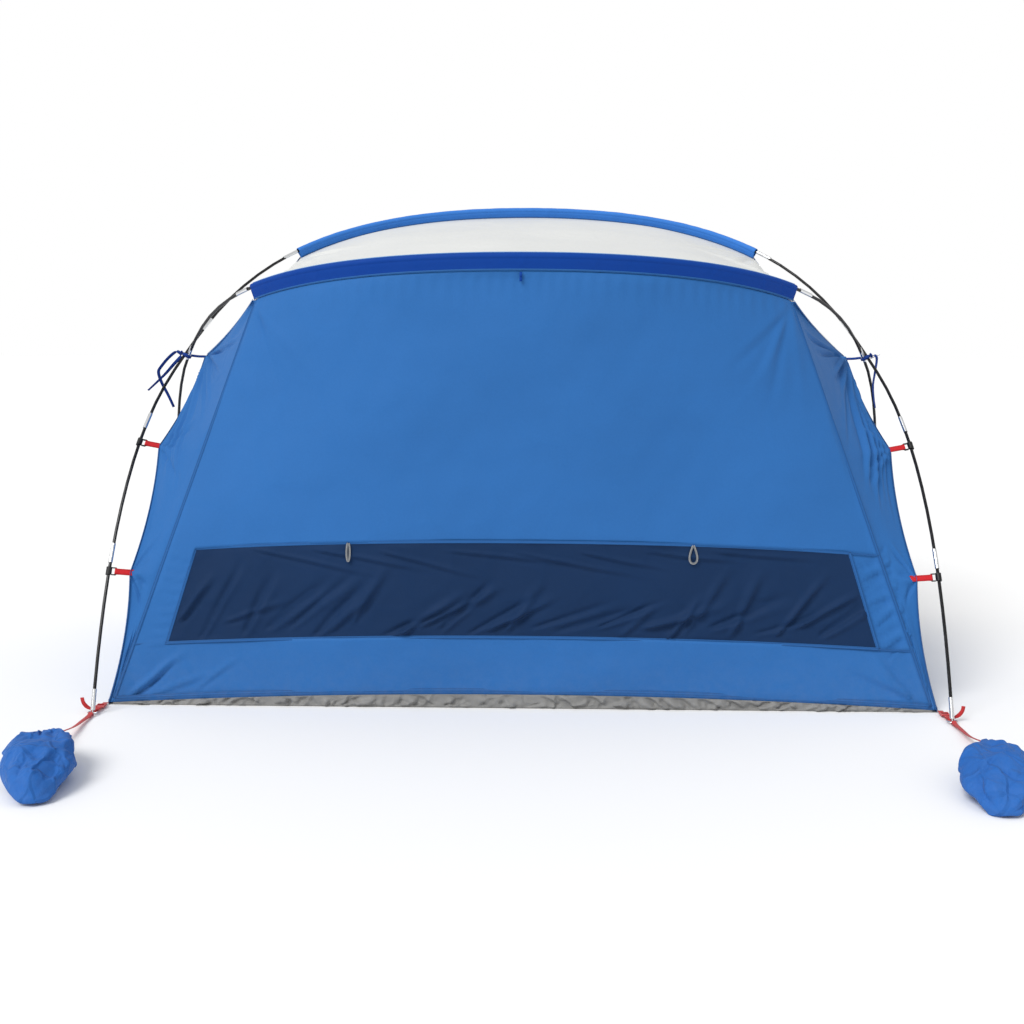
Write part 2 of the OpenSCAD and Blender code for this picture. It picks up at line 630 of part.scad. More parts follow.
module tie_tails(side) {
    color([0.05, 0.12, 0.4]) {
        tie_tail(side, side == left ? left_long_tail : right_loop_tail);
        tie_tail(side, side == left ? left_short_tail : right_short_tail);
    }
}
module hang_loop() { color([0.05, 0.2, 0.5]) hang_tab(); }

front_pole();
rear_pole();
front_ferrules();
rear_ferrules();
front_shock_cord();
rear_shock_cord();
roof();
front_sleeve();
rear_sleeve();
rear_wall_upper();
rear_wall_lower();
window_sides();
window_mesh();
window_flap();
gusset(left);  // rear_gusset_left
gusset(right);  // rear_gusset_right
wall(left);  // side_wall_left
wall(right);  // side_wall_right
floor();
floor_skirt();
corner_webbing_at(left, rear);  // webbing_rear_left
corner_webbing_at(right, rear);  // webbing_rear_right
corner_webbing_at(left, front);  // webbing_front_left
corner_webbing_at(right, front);  // webbing_front_right
adjuster_at(left, rear);  // adjuster_rear_left
adjuster_at(right, rear);  // adjuster_rear_right
adjuster_at(left, front);  // adjuster_front_left
adjuster_at(right, front);  // adjuster_front_right
ring_pin_at(left, rear);  // ring_pin_rear_left
ring_pin_at(right, rear);  // ring_pin_rear_right
ring_pin_at(left, front);  // ring_pin_front_left
ring_pin_at(right, front);  // ring_pin_front_right
bag_strap_at(left, rear);  // bag_strap_rear_left
bag_strap_at(right, rear);  // bag_strap_rear_right
bag_strap_at(left, front);  // bag_strap_front_left
bag_strap_at(right, front);  // bag_strap_front_right
sandbag_at(left, rear);  // sandbag_rear_left
sandbag_at(right, rear);  // sandbag_rear_right
sandbag_at(left, front);  // sandbag_front_left
sandbag_at(right, front);  // sandbag_front_right
clip(left, rear, low);  // clip_low_rear_left
clip(right, rear, low);  // clip_low_rear_right
clip(left, front, low);  // clip_low_front_left
clip(right, front, low);  // clip_low_front_right
clip(left, rear, high);  // clip_high_rear_left
clip(right, rear, high);  // clip_high_rear_right
clip(left, front, high);  // clip_high_front_left
clip(right, front, high);  // clip_high_front_right
tabs(left, rear);  // tabs_rear_left
tabs(right, rear);  // tabs_rear_right
tabs(left, front);  // tabs_front_left
tabs(right, front);  // tabs_front_right
tie(left);  // tie_left
tie(right);  // tie_right
tie_tails(left);  // tie_tails_left
tie_tails(right);  // tie_tails_right
color([0.6, 0.6, 0.6]) window_loop(-window_loop_share, 12);  // window_loop_left
color([0.6, 0.6, 0.6]) window_loop(window_loop_share, 34);  // window_loop_right
hang_loop();
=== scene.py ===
import math

import bpy
import numpy as np
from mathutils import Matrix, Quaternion, Vector


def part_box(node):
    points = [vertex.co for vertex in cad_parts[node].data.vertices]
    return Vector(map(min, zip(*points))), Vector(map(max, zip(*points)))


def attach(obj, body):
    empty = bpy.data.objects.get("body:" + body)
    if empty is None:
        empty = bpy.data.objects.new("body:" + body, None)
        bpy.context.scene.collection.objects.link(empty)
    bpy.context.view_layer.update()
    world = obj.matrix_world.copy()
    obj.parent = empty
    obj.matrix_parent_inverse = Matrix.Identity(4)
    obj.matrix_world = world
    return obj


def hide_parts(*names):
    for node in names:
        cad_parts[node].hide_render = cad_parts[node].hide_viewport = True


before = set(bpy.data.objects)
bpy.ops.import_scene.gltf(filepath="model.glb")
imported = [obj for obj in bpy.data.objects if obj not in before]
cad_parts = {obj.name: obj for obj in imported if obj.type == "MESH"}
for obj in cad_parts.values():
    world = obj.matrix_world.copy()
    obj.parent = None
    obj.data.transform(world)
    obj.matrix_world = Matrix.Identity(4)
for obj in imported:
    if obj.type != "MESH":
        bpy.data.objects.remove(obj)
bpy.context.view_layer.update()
sideNames = {-1: "left", 1: "right"}
endNames = {-1: "rear", 1: "front"}
corners = [(side, end) for side in (-1, 1) for end in (-1, 1)]
print("stage: frame loaded")

# small helpers


def vec(*values):
    return np.array(values, float)


def unit(v):
    return v / np.linalg.norm(v, axis=-1, keepdims=True)


def squareTo(v, t):
    return unit(v - (v * t).sum(-1, keepdims=True) * t)


def mix(a, b, t):
    return a + (b - a) * t


def mirrored(points, side):
    return points * vec(side, 1, 1)


def smoothStep(x):
    x = np.clip(x, 0, 1)
    return x * x * (3 - 2 * x)


def curvePoints(controls, count):  # a cubic curve with its four control points
    t = np.linspace(0, 1, count + 1)[:, None]
    a, b, c, d = controls
    return (1 - t) ** 3 * a + 3 * (1 - t) ** 2 * t * b + 3 * (1 - t) * t * t * c + t**3 * d


def spline(points, count):  # a smooth line through every point
    p = np.array(points, float)
    p = np.vstack([2 * p[0] - p[1], p, 2 * p[-1] - p[-2]])
    out = []
    for i in range(1, len(p) - 2):
        for t in np.arange(count) / count:
            out.append(0.5 * (2 * p[i] + (p[i + 1] - p[i - 1]) * t
                              + (2 * p[i - 1] - 5 * p[i] + 4 * p[i + 1] - p[i + 2]) * t * t
                              + (3 * p[i] - p[i - 1] - 3 * p[i + 1] + p[i + 2]) * t**3))
    out.append(p[-2])
    return np.array(out)


def runLengths(points):
    return np.concatenate([[0], np.cumsum(np.linalg.norm(np.diff(points, axis=0), axis=1))])


def evenly(points, count):
    runs = runLengths(points)
    at = np.linspace(0, runs[-1], count)
    return np.stack([np.interp(at, runs, points[:, k]) for k in range(3)], -1)

# the tent's lines, as in the solid model

tent = {
    "halfWidth": 1.35, "halfDepth": 0.89, "frontHeight": 1.725, "rearHeight": 1.45,
    "poleRadius": 0.0055, "ferruleWall": 0.0014, "ferruleLength": 0.066, "sections": 12,
    "footLift": 0.016382, "tieReach": 0.072, "sidePointGap": 0.012,
    "rearSleeve": 1.96, "frontSleeve": 1.98, "rearDrop": 0.044, "frontDrop": 0.03, "channel": 0.0096,
    "cornerWidth": 1.34, "floorEdge": 0.768, "hemHeight": 0.008, "hemLift": 0.046, "seamInset": 0.014,
    "lowClipGap": 0.016, "highClipGap": 0.046, "clipLength": 0.026, "tabReach": 0.068, "barReach": 0.022,
    "windowSill": 0.14, "windowHead": 0.37, "windowShare": 0.91,
}
halfWidth, halfDepth = tent["halfWidth"], tent["halfDepth"]
frontHeight, rearHeight = tent["frontHeight"], tent["rearHeight"]
crossPoint = vec(0.922 * halfWidth, -0.15 * halfDepth, 0.653 * frontHeight)
frontLean = vec(-0.039 * halfWidth, 0.143 * halfDepth, 0.07 * frontHeight)
rearLean = vec(-0.087 * halfWidth, -0.166 * halfDepth, 0.13 * rearHeight)
crossNormal = unit(np.cross(unit(frontLean), unit(rearLean)))
crossShift = (tent["poleRadius"] + tent["ferruleWall"] / 2 + 0.0003) * crossNormal


def poleRoute(leg, arch, count=160):
    half = np.vstack([curvePoints(leg, count)[:-1], curvePoints(arch, count)])
    points = np.vstack([half, mirrored(half[-2::-1], -1)])
    return {"points": points, "runs": runLengths(points), "length": runLengths(points)[-1]}


frontCross, rearCross = crossPoint + crossShift, crossPoint - crossShift
frontCrown = vec(0, 0.655 * halfDepth, frontHeight)
rearCrown = vec(0, -0.965 * halfDepth, rearHeight)
frontRoute = poleRoute(
    [vec(halfWidth, -halfDepth, tent["footLift"]),
     vec(1.02 * halfWidth, -0.64 * halfDepth, 0.47 * frontHeight),
     frontCross - frontLean, frontCross],
    [frontCross, frontCross + 1.68 * frontLean, frontCrown + vec(0.763 * halfWidth, 0, 0), frontCrown])
rearRoute = poleRoute(
    [vec(halfWidth, halfDepth, tent["footLift"]),
     vec(1.122 * halfWidth, 0.724 * halfDepth, 0.232 * rearHeight),
     rearCross - rearLean, rearCross],
    [rearCross, rearCross + 1.09 * rearLean, rearCrown + vec(0.655 * halfWidth, 0, 0), rearCrown])


def along(route, s):
    return np.stack([np.interp(s, route["runs"], route["points"][:, k]) for k in range(3)], -1)


def heading(route, s):
    return unit(along(route, np.asarray(s) + 0.004) - along(route, np.asarray(s) - 0.004))


def legRoute(end):  # the front pole stands on the rear feet
    return frontRoute if end < 0 else rearRoute


def clipFrame(end, level):  # on the right side: place, way up the pole, way to the cloth
    route = legRoute(end)
    gap = tent["lowClipGap"] if level == 0 else tent["highClipGap"]
    run = (level + 1) * route["length"] / tent["sections"] \
        + end * ((tent["ferruleLength"] + tent["clipLength"]) / 2 + gap)
    up = heading(route, run)
    way = squareTo(vec(-0.97, 0.15, -0.1) if end < 0 else vec(-0.97, -0.1, -0.1), up)
    return along(route, run), up, way


def pullPoint(end, level):
    place, _, way = clipFrame(end, level)
    return place + tent["tabReach"] * way


def scallop(a, b, pull, count=24):
    t = np.linspace(0, 1, count + 1)[:, None]
    return (1 - t) ** 2 * a + 2 * t * (1 - t) * ((a + b) / 2 + 2 * pull) + t * t * b


def legEdge(end, pull, foot, tip):
    low, high = pullPoint(end, 0), pullPoint(end, 1)
    return np.vstack([scallop(foot, low, pull)[:-1], scallop(low, high, pull)[:-1], scallop(high, tip, pull)])


def sleeveEdge(route, sleeveLength, share, drop):
    s = route["length"] / 2 - np.asarray(share) * (sleeveLength / 2 - tent["seamInset"])
    return along(route, s) + drop * squareTo(vec(0, 0, -1), heading(route, s))


def rearTop(share):
    return sleeveEdge(rearRoute, tent["rearSleeve"], share, tent["rearDrop"])


def frontTop(share):
    return sleeveEdge(frontRoute, tent["frontSleeve"], share, tent["frontDrop"])


def rearHem(share):
    share = np.asarray(share, float)
    return np.stack([share * (tent["cornerWidth"] - tent["seamInset"]), share * 0 - tent["floorEdge"],
                     tent["hemHeight"] + (tent["hemLift"] - tent["hemHeight"]) * (1 - share**2)], -1)


def rearPanel(share, rise):
    return mix(rearHem(share), rearTop(share), np.asarray(rise)[..., None])


sidePoint = crossPoint - vec(tent["tieReach"], 0, 0.004)
rearTip = sidePoint - vec(0, tent["sidePointGap"], 0)
frontTip = sidePoint + vec(0, tent["sidePointGap"], 0)
rearCorner = vec(tent["cornerWidth"], -tent["floorEdge"], tent["hemHeight"])
rearLegEdge = legEdge(-1, vec(-0.014, 0.01, 0), rearCorner, rearTip)
frontLegEdge = legEdge(1, vec(-0.014, -0.012, 0), rearCorner * vec(1, -1, 1), frontTip)
rearWingEdge = scallop(rearTip, rearTop(1) + vec(tent["seamInset"], 0, -0.006), vec(-0.009, -0.002, -0.005))
frontWingEdge = scallop(frontTip, frontTop(1) + vec(tent["seamInset"], 0, -0.006), vec(-0.014, 0, -0.008))
seamLow, seamHigh = rearHem(1), rearTop(1)


def rearSeam(z):
    return mix(seamLow, seamHigh, ((np.asarray(z) - seamLow[2]) / (seamHigh[2] - seamLow[2]))[..., None])

# camera

cameraSetup = {"place": (0.069, -4.882, 1.209), "pitch": 0.0679, "yaw": -0.0236, "roll": 0.0032,
               "lens": 45.48, "shiftY": -0.0879}
cameraData = bpy.data.cameras.new("photographersCamera")
camera = bpy.data.objects.new("photographersCamera", cameraData)
bpy.context.scene.collection.objects.link(camera)
camera.location = cameraSetup["place"]
look = Vector((math.tan(cameraSetup["yaw"]), 1, -math.tan(cameraSetup["pitch"])))
roll = Quaternion((0, 0, 1), cameraSetup["roll"])
camera.rotation_euler = (look.to_track_quat("-Z", "Y") @ roll).to_euler()
cameraData.sensor_width = 36
cameraData.lens = cameraSetup["lens"]
cameraData.shift_y = cameraSetup["shiftY"]
cameraData.clip_end = 200
bpy.context.scene.camera = camera
bpy.context.scene.view_settings.view_transform = "Standard"

# mesh makers


def addMesh(name, points, faces, body, uvs=None, smooth=True):
    mesh = bpy.data.meshes.new(name)
    mesh.from_pydata(np.asarray(points, float).tolist(), [], faces)
    if uvs is not None:
        layer = mesh.uv_layers.new(name="clothMetres")
        index = np.zeros(len(mesh.loops), np.int32)
        mesh.loops.foreach_get("vertex_index", index)
        layer.data.foreach_set("uv", np.asarray(uvs, np.float32)[index].ravel())
    mesh.polygons.foreach_set("use_smooth", [smooth] * len(mesh.polygons))
    mesh.update()
    piece = bpy.data.objects.new(name, mesh)
    bpy.context.scene.collection.objects.link(piece)
    if body:
        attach(piece, body)
    return piece


def gridNormals(grid):
    return unit(np.cross(np.gradient(grid, axis=1), np.gradient(grid, axis=0)))


def gridMetres(grid):
    across = np.linalg.norm(np.diff(grid, axis=1), axis=2).mean(0)
    up = np.linalg.norm(np.diff(grid, axis=0), axis=2).mean(1)
    u, v = np.concatenate([[0], np.cumsum(across)]), np.concatenate([[0], np.cumsum(up)])
    return np.stack(np.meshgrid(u, v), -1)


def gridSheet(name, grid, body, keep=None, thick=0.0009):  # a sheet of cloth from rows of points
    rows, cols = grid.shape[:2]
    keep = np.ones((rows - 1, cols - 1), bool) if keep is None else keep
    j, i = np.nonzero(keep)
    corner = j * cols + i
    faces = np.stack([corner, corner + 1, corner + cols + 1, corner + cols], -1)
    used = np.unique(faces)
    renumber = np.zeros(rows * cols, int)
    renumber[used] = np.arange(len(used))
    metres = gridMetres(grid).reshape(-1, 2)[used]
    piece = addMesh(name, grid.reshape(-1, 3)[used], renumber[faces].tolist(), body, metres)
    if thick:
        shell = piece.modifiers.new("clothThickness", "SOLIDIFY")
        shell.thickness, shell.offset = thick, 0
    return piece


def ringSweep(name, rings, body, uvs=None):  # a skin through rings of points, capped at both ends
    rings = np.asarray(rings)
    count, n = rings.shape[:2]
    faces = [(j * n + i, j * n + (i + 1) % n, (j + 1) * n + (i + 1) % n, (j + 1) * n + i)
             for j in range(count - 1) for i in range(n)]
    faces += [tuple(range(n - 1, -1, -1)), tuple((count - 1) * n + i for i in range(n))]
    return addMesh(name, rings.reshape(-1, 3), faces, body, uvs)


# the outline of a flat strap at each point of its path
def strapRings(path, side, width, thick, rounding=0.35):
    path = np.asarray(path, float)
    way = unit(np.gradient(path, axis=0))
    side = squareTo(np.broadcast_to(np.asarray(side, float), path.shape), way)
    up = np.cross(way, side)
    w, t, r = width / 2, thick / 2, thick * rounding
    outline = [(-w, -t + r), (-w + r, -t), (w - r, -t), (w, -t + r)]
    outline += [(-a, -b) for a, b in outline]
    rings = np.stack([path + a * side + b * up for a, b in outline], 1)
    across = np.array([a + w for a, _ in outline])
    run = runLengths(path)
    uvs = np.stack([np.broadcast_to(across, (len(path), 8)), np.repeat(run[:, None], 8, 1)],
                   -1).reshape(-1, 2)
    return rings, uvs


def strap(name, path, side, width, thick, body):
    rings, uvs = strapRings(path, side, width, thick)
    return ringSweep(name, rings, body, uvs=uvs)


def roundCord(name, path, radius, body, sides=10):
    path = np.asarray(path, float)
    way = unit(np.gradient(path, axis=0))
    side = squareTo(np.broadcast_to(vec(0.31, 0.9, 0.2), path.shape), way)
    up = np.cross(way, side)
    a = np.linspace(0, 2 * np.pi, sides, endpoint=False)
    around = np.cos(a)[None, :, None] * side[:, None] + np.sin(a)[None, :, None] * up[:, None]
    rings = path[:, None] + radius * around
    run = runLengths(path)
    uvs = np.stack([np.broadcast_to(a * radius, (len(path), sides)), np.repeat(run[:, None], sides, 1)], -1)
    return ringSweep(name, rings, body, uvs=uvs.reshape(-1, 2))


def joinInto(main, *others):  # several meshes as one piece
    for other in others:
        offset = len(main.data.vertices)
        points = [tuple(v.co) for v in main.data.vertices] + [tuple(v.co) for v in other.data.vertices]
        faces = [tuple(p.vertices) for p in main.data.polygons]
        faces += [tuple(offset + k for k in p.vertices) for p in other.data.polygons]
        pairs = np.concatenate([cornerUvs(main), cornerUvs(other)])
        mesh = bpy.data.meshes.new(main.name)
        mesh.from_pydata(points, [], faces)
        mesh.uv_layers.new(name="clothMetres").data.foreach_set("uv", pairs.ravel())
        mesh.polygons.foreach_set("use_smooth", [True] * len(faces))
        for kept in main.data.materials:
            mesh.materials.append(kept)
        main.data = mesh
        bpy.data.objects.remove(other)
    return main


def cornerUvs(piece):
    values = np.zeros(len(piece.data.loops) * 2, np.float32)
    if piece.data.uv_layers:
        piece.data.uv_layers[0].data.foreach_get("uv", values)
    return values

# cords: tie tails and window loops

tieTape = {"width": 0.012, "thick": 0.0012}
tieTails = {  # offsets from the crossing of the poles in mm, mirrored on the left
    "tieTailLongLeft": (-1, [(16, -4, 4), (34, -10, 14), (60, -16, -6), (88, -22, -40), (98, -24, -62),
                             (88, -20, -100), (66, -16, -145), (46, -14, -190)]),
    "tieTailShortLeft": (-1, [(16, -10, -2), (40, -22, -30), (70, -30, -66), (102, -34, -98),
                              (134, -36, -128)]),
    "tieTailLoopRight": (1, [(16, -6, 2), (30, -10, 10), (38, -12, -4), (32, -14, -50), (26, -14, -100),
                             (30, -14, -150), (36, -14, -182)]),
    "tieTailStubRight": (1, [(16, -12, -2), (30, -22, 6), (44, -28, 12)]),  # sewn to the knot of the loop
}


tiePieces = {}
for name, (side, offsets) in tieTails.items():
    path = spline([mirrored(crossPoint + np.array(p) / 1000, side) for p in offsets], 6)
    turn = np.linspace(0.2, 1.5, len(path))[:, None]
    flatWay = np.cos(turn) * vec(1, 0.2, 0.3) + np.sin(turn) * vec(0.5, 0.8, 0.1)
    tail = strap(name, path, flatWay, tieTape["width"], tieTape["thick"], "tent")
    tiePieces[name] = (tail, path)

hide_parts("tie_tails_left")
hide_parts("tie_tails_right")

windowLoops = {"share": 0.465, "drop": 0.058, "width": 0.0065, "thick": 0.0016, "standOff": 0.0044,
               "lean": 0.005, "leftWidth": 0.009, "rightWidth": 0.030, "pinch": 0.75}
loopPieces = []
for side, spread in ((-1, windowLoops["leftWidth"]), (1, windowLoops["rightWidth"])):
    top = rearPanel(side * windowLoops["share"], tent["windowHead"]) - vec(0, windowLoops["standOff"], 0)
    turn = np.radians(np.arange(12, 349, 6.0))
    fall = (1 - np.cos(turn)) / 2
    taper = 1 - windowLoops["pinch"] * (1 - fall) * (side > 0)  # the right-hand loop hangs as a triangle
    path = top + np.stack([spread / 2 * np.sin(turn) * taper * 1.15, -windowLoops["lean"] * fall,
                           -windowLoops["drop"] * fall], -1)
    across = unit(np.cross(np.gradient(path, axis=0), vec(0, -1, 0.1)))
    loop = strap(f"windowLoop{sideNames[side].title()}", path, across, windowLoops["width"],
                 windowLoops["thick"], "tent")
    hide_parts(f"window_loop_{sideNames[side]}")
    loopPieces.append(loop)
print("stage: camera and cords")

# shader groups shared by the finishes


class GroupMaker:
    def __init__(self, name, inputs, outputs):
        self.tree = bpy.data.node_groups.new(name, "ShaderNodeTree")
        for label, kind, value in inputs:
            socket = self.tree.interface.new_socket(name=label, in_out="INPUT", socket_type=kind)
            socket.default_value = value
        for label, kind in outputs:
            self.tree.interface.new_socket(name=label, in_out="OUTPUT", socket_type=kind)
        self.source = self.tree.nodes.new("NodeGroupInput").outputs
        self.result = self.tree.nodes.new("NodeGroupOutput").inputs

    def node(self, kind, **settings):
        return placeNode(self.tree, kind, **settings)

    def math(self, operation, a, b=0.0, clamp=False):
        return placeMath(self.tree, operation, a, b, clamp)

    def plus(self, a, b, clamp=False):
        return placeMath(self.tree, "ADD", a, b, clamp)

    def minus(self, a, b, clamp=False):
        return placeMath(self.tree, "SUBTRACT", a, b, clamp)

    def times(self, a, b, clamp=False):
        return placeMath(self.tree, "MULTIPLY", a, b, clamp)

    def axes(self, coordinate):
        place = self.node("ShaderNodeTexCoord").outputs[coordinate]
        return self.node("ShaderNodeSeparateXYZ", Vector=place).outputs

    def give(self, name, value):
        self.tree.links.new(value, self.result[name])

    def blend(self, factor, a, b, kind="MIX"):
        return placeBlend(self.tree, factor, a, b, kind)


def feed(tree, socket, value):
    if isinstance(value, bpy.types.NodeSocket):
        tree.links.new(value, socket)
    else:
        socket.default_value = value


def placeNode(tree, kind, **settings):
    made = tree.nodes.new(kind)
    for key, value in settings.items():
        if hasattr(made, key) and key not in made.inputs:
            setattr(made, key, value)
        else:
            feed(tree, made.inputs[key.replace("_", " ")], value)
    return made


def placeMath(tree, operation, a, b=0.0, clamp=False):
    made = tree.nodes.new("ShaderNodeMath")
    made.operation, made.use_clamp = operation, clamp
    feed(tree, made.inputs[0], a)
    feed(tree, made.inputs[1], b)
    return made.outputs[0]


def placeBlend(tree, factor, a, b, kind="MIX"):
    made = tree.nodes.new("ShaderNodeMix")
    made.data_type, made.blend_type = "RGBA", kind
    feed(tree, made.inputs[0], factor)
    feed(tree, made.inputs[6], a)
    feed(tree, made.inputs[7], b)
    return made.outputs[2]


colourIn, valueIn = "NodeSocketColor", "NodeSocketFloat"


def makeWeave():  # plain weave of fine threads, with slow changes of shade over the cloth
    g = GroupMaker("plainWeave", [("Colour", colourIn, (0.1, 0.2, 0.5, 1)), ("Threads", valueIn, 900.0),
                                  ("Shade Change", valueIn, 0.15)],
                   [("Colour", colourIn), ("Height", valueIn)])
    place = g.node("ShaderNodeTexCoord").outputs["Object"]
    axes = g.node("ShaderNodeSeparateXYZ", Vector=place).outputs
    warp = g.math("SINE", g.times(g.plus(axes[0], axes[1]), g.source["Threads"]))
    weft = g.math("SINE", g.times(g.plus(axes[2], g.times(axes[1], 0.6)), g.source["Threads"]))
    height = g.math("MAXIMUM", warp, weft)
    cloud = g.node("ShaderNodeTexNoise", Vector=place, Scale=2.3, Detail=5.0, Roughness=0.62).outputs["Fac"]
    slub = g.node("ShaderNodeTexNoise", Vector=place, Scale=160.0, Detail=2.0).outputs["Fac"]
    shade = g.plus(g.times(g.minus(cloud, 0.5), g.source["Shade Change"]),
                   g.times(g.minus(slub, 0.5), 0.10))
    level = g.plus(shade, 1.0)
    grey = g.node("ShaderNodeCombineColor", Red=level, Green=level, Blue=level).outputs[0]
    g.give("Colour", g.blend(1.0, g.source["Colour"], grey, "MULTIPLY"))
    g.give("Height", height)
    return g.tree


def makeCrumple():  # fine creases that a packed cloth keeps
    g = GroupMaker("packedCreases", [("Scale", valueIn, 6.0), ("Sharpness", valueIn, 0.5)],
                   [("Height", valueIn)])
    place = g.node("ShaderNodeTexCoord").outputs["Object"]
    bend = g.node("ShaderNodeTexNoise", Vector=place, Scale=3.0, Detail=3.0).outputs["Color"]
    moved = g.node("ShaderNodeMix", data_type="VECTOR")
    moved.inputs[0].default_value = 0.12
    g.tree.links.new(place, moved.inputs[4])
    g.tree.links.new(bend, moved.inputs[5])
    cells = g.node("ShaderNodeTexVoronoi", feature="DISTANCE_TO_EDGE", Vector=moved.outputs[1],
                   Scale=g.source["Scale"])
    ridge = g.minus(1.0, g.times(cells.outputs["Distance"], 9.0), True)
    soft = g.node("ShaderNodeTexNoise", Vector=place, Scale=14.0, Detail=5.0, Roughness=0.6).outputs["Fac"]
    g.give("Height", g.plus(soft, g.times(ridge, g.source["Sharpness"])))
    return g.tree


def makeGroundDust():  # sand and dust that settles low down
    g = GroupMaker("groundDust", [("Colour", colourIn, (1, 1, 1, 1)),
                                  ("Dust", colourIn, (0.42, 0.39, 0.34, 1)),
                                  ("Amount", valueIn, 0.25), ("Reach", valueIn, 0.25)],
                   [("Colour", colourIn)])
    place = g.node("ShaderNodeTexCoord").outputs["Object"]
    height = g.node("ShaderNodeSeparateXYZ", Vector=place).outputs[2]
    low = g.minus(1.0, g.math("DIVIDE", height, g.source["Reach"]), True)
    speck = g.node("ShaderNodeTexNoise", Vector=place, Scale=38.0, Detail=6.0, Roughness=0.7).outputs["Fac"]
    mask = g.times(g.times(low, g.minus(g.times(speck, 2.6), 0.8), True),
                  g.source["Amount"])
    g.give("Colour", g.blend(mask, g.source["Colour"], g.source["Dust"]))
    return g.tree


def makeStitchRows():  # two rows of thread along a tape; the tape's own metres run across and along it
    g = GroupMaker("stitchRows", [("Colour", colourIn, (1, 1, 1, 1)),
                                  ("Thread", colourIn, (0.1, 0.1, 0.2, 1)),
                                  ("Width", valueIn, 0.012), ("Inset", valueIn, 0.0025),
                                  ("Pitch", valueIn, 0.003)],
                   [("Colour", colourIn), ("Height", valueIn)])
    axes = g.axes("UV")
    fromMiddle = g.math("ABSOLUTE", g.minus(axes[0], g.times(g.source["Width"], 0.5)))
    row = g.math("ABSOLUTE", g.minus(fromMiddle,
                                    g.minus(g.times(g.source["Width"], 0.5), g.source["Inset"])))
    near = g.math("LESS_THAN", row, 0.0006)
    step = g.math("LESS_THAN", g.math("FRACT", g.math("DIVIDE", axes[1], g.source["Pitch"])), 0.68)
    mask = g.times(near, step)
    g.give("Colour", g.blend(mask, g.source["Colour"], g.source["Thread"]))
    g.give("Height", mask)
    return g.tree


def makeRibbedTape():  # webbing: ribs across, with painted shade in the grooves between ribs, and darker along each edge
    g = GroupMaker("ribbedTape", [("Colour", colourIn, (1, 0, 0, 1)), ("Width", valueIn, 0.02),
                                  ("Rib", valueIn, 0.0018),
                                  ("Slant", valueIn, 0.4)], [("Colour", colourIn), ("Height", valueIn)])
    axes = g.axes("UV")
    fromMiddle = g.math("ABSOLUTE", g.minus(axes[0], g.times(g.source["Width"], 0.5)))
    run = g.plus(axes[1], g.times(fromMiddle, g.source["Slant"]))
    rib = g.math("SINE", g.times(g.math("DIVIDE", run, g.source["Rib"]), 6.283))
    cross = g.math("SINE", g.times(g.math("DIVIDE", axes[0], g.source["Rib"]), 6.283))
    height = g.plus(g.times(rib, 0.5), g.times(cross, 0.25))
    edge = g.math("GREATER_THAN", fromMiddle, g.times(g.source["Width"], 0.42))
    # painted shade: the colour follows the rib height, darker in the grooves; the colour is also darker along
    # each edge
    shade = g.minus(g.plus(g.times(height, 0.22), 0.94), g.times(edge, 0.18))
    grey = g.node("ShaderNodeCombineColor", Red=shade, Green=shade, Blue=shade).outputs[0]
    g.give("Colour", g.blend(1.0, g.source["Colour"], grey, "MULTIPLY"))
    g.give("Height", height)
    return g.tree


def makeHandling():  # scuffs and dulled patches on hard parts
    g = GroupMaker("handlingMarks", [("Colour", colourIn, (0.1, 0.1, 0.1, 1)),
                                     ("Worn", colourIn, (0.4, 0.4, 0.4, 1)),
                                     ("Amount", valueIn, 0.3), ("Roughness", valueIn, 0.3)],
                   [("Colour", colourIn), ("Roughness", valueIn), ("Height", valueIn)])
    place = g.node("ShaderNodeTexCoord").outputs["Object"]
    fine = g.node("ShaderNodeTexNoise", Vector=place, Scale=240.0, Detail=4.0, Roughness=0.65).outputs["Fac"]
    broad = g.node("ShaderNodeTexNoise", Vector=place, Scale=21.0, Detail=3.0).outputs["Fac"]
    mask = g.times(g.minus(g.times(g.times(fine, broad), 9.0), 2.2, True),
                  g.source["Amount"])
    g.give("Colour", g.blend(mask, g.source["Colour"], g.source["Worn"]))
    rough = g.plus(g.source["Roughness"], g.plus(g.times(mask, 0.35),
                                                          g.times(g.minus(broad, 0.5), 0.12)), True)
    g.give("Roughness", rough)
    g.give("Height", fine)
    return g.tree


groups = {"weave": makeWeave(), "crumple": makeCrumple(), "dust": makeGroundDust(),
          "stitch": makeStitchRows(),
          "tape": makeRibbedTape(), "marks": makeHandling()}


def newFinish(name, **values):  # a material with one Principled shader and its plain values
    made = bpy.data.materials.new(name)
    made.use_nodes = True
    shader = made.node_tree.nodes["Principled BSDF"]
    for key, value in values.items():
        shader.inputs[key.replace("_", " ")].default_value = value
    return made, made.node_tree, shader


def useGroup(tree, key, **values):
    made = tree.nodes.new("ShaderNodeGroup")
    made.node_tree = groups[key]
    for label, value in values.items():
        feed(tree, made.inputs[label.replace("_", " ")], value)
    return made.outputs


def addBump(tree, shader, *layers):  # each layer is (height, distance in metres, strength)
    normal = None
    for height, distance, strength in layers:
        bump = tree.nodes.new("ShaderNodeBump")
        bump.inputs["Strength"].default_value = strength
        bump.inputs["Distance"].default_value = distance
        tree.links.new(height, bump.inputs["Height"])
        if normal is not None:
            tree.links.new(normal, bump.inputs["Normal"])
        normal = bump.outputs["Normal"]
    tree.links.new(normal, shader.inputs["Normal"])


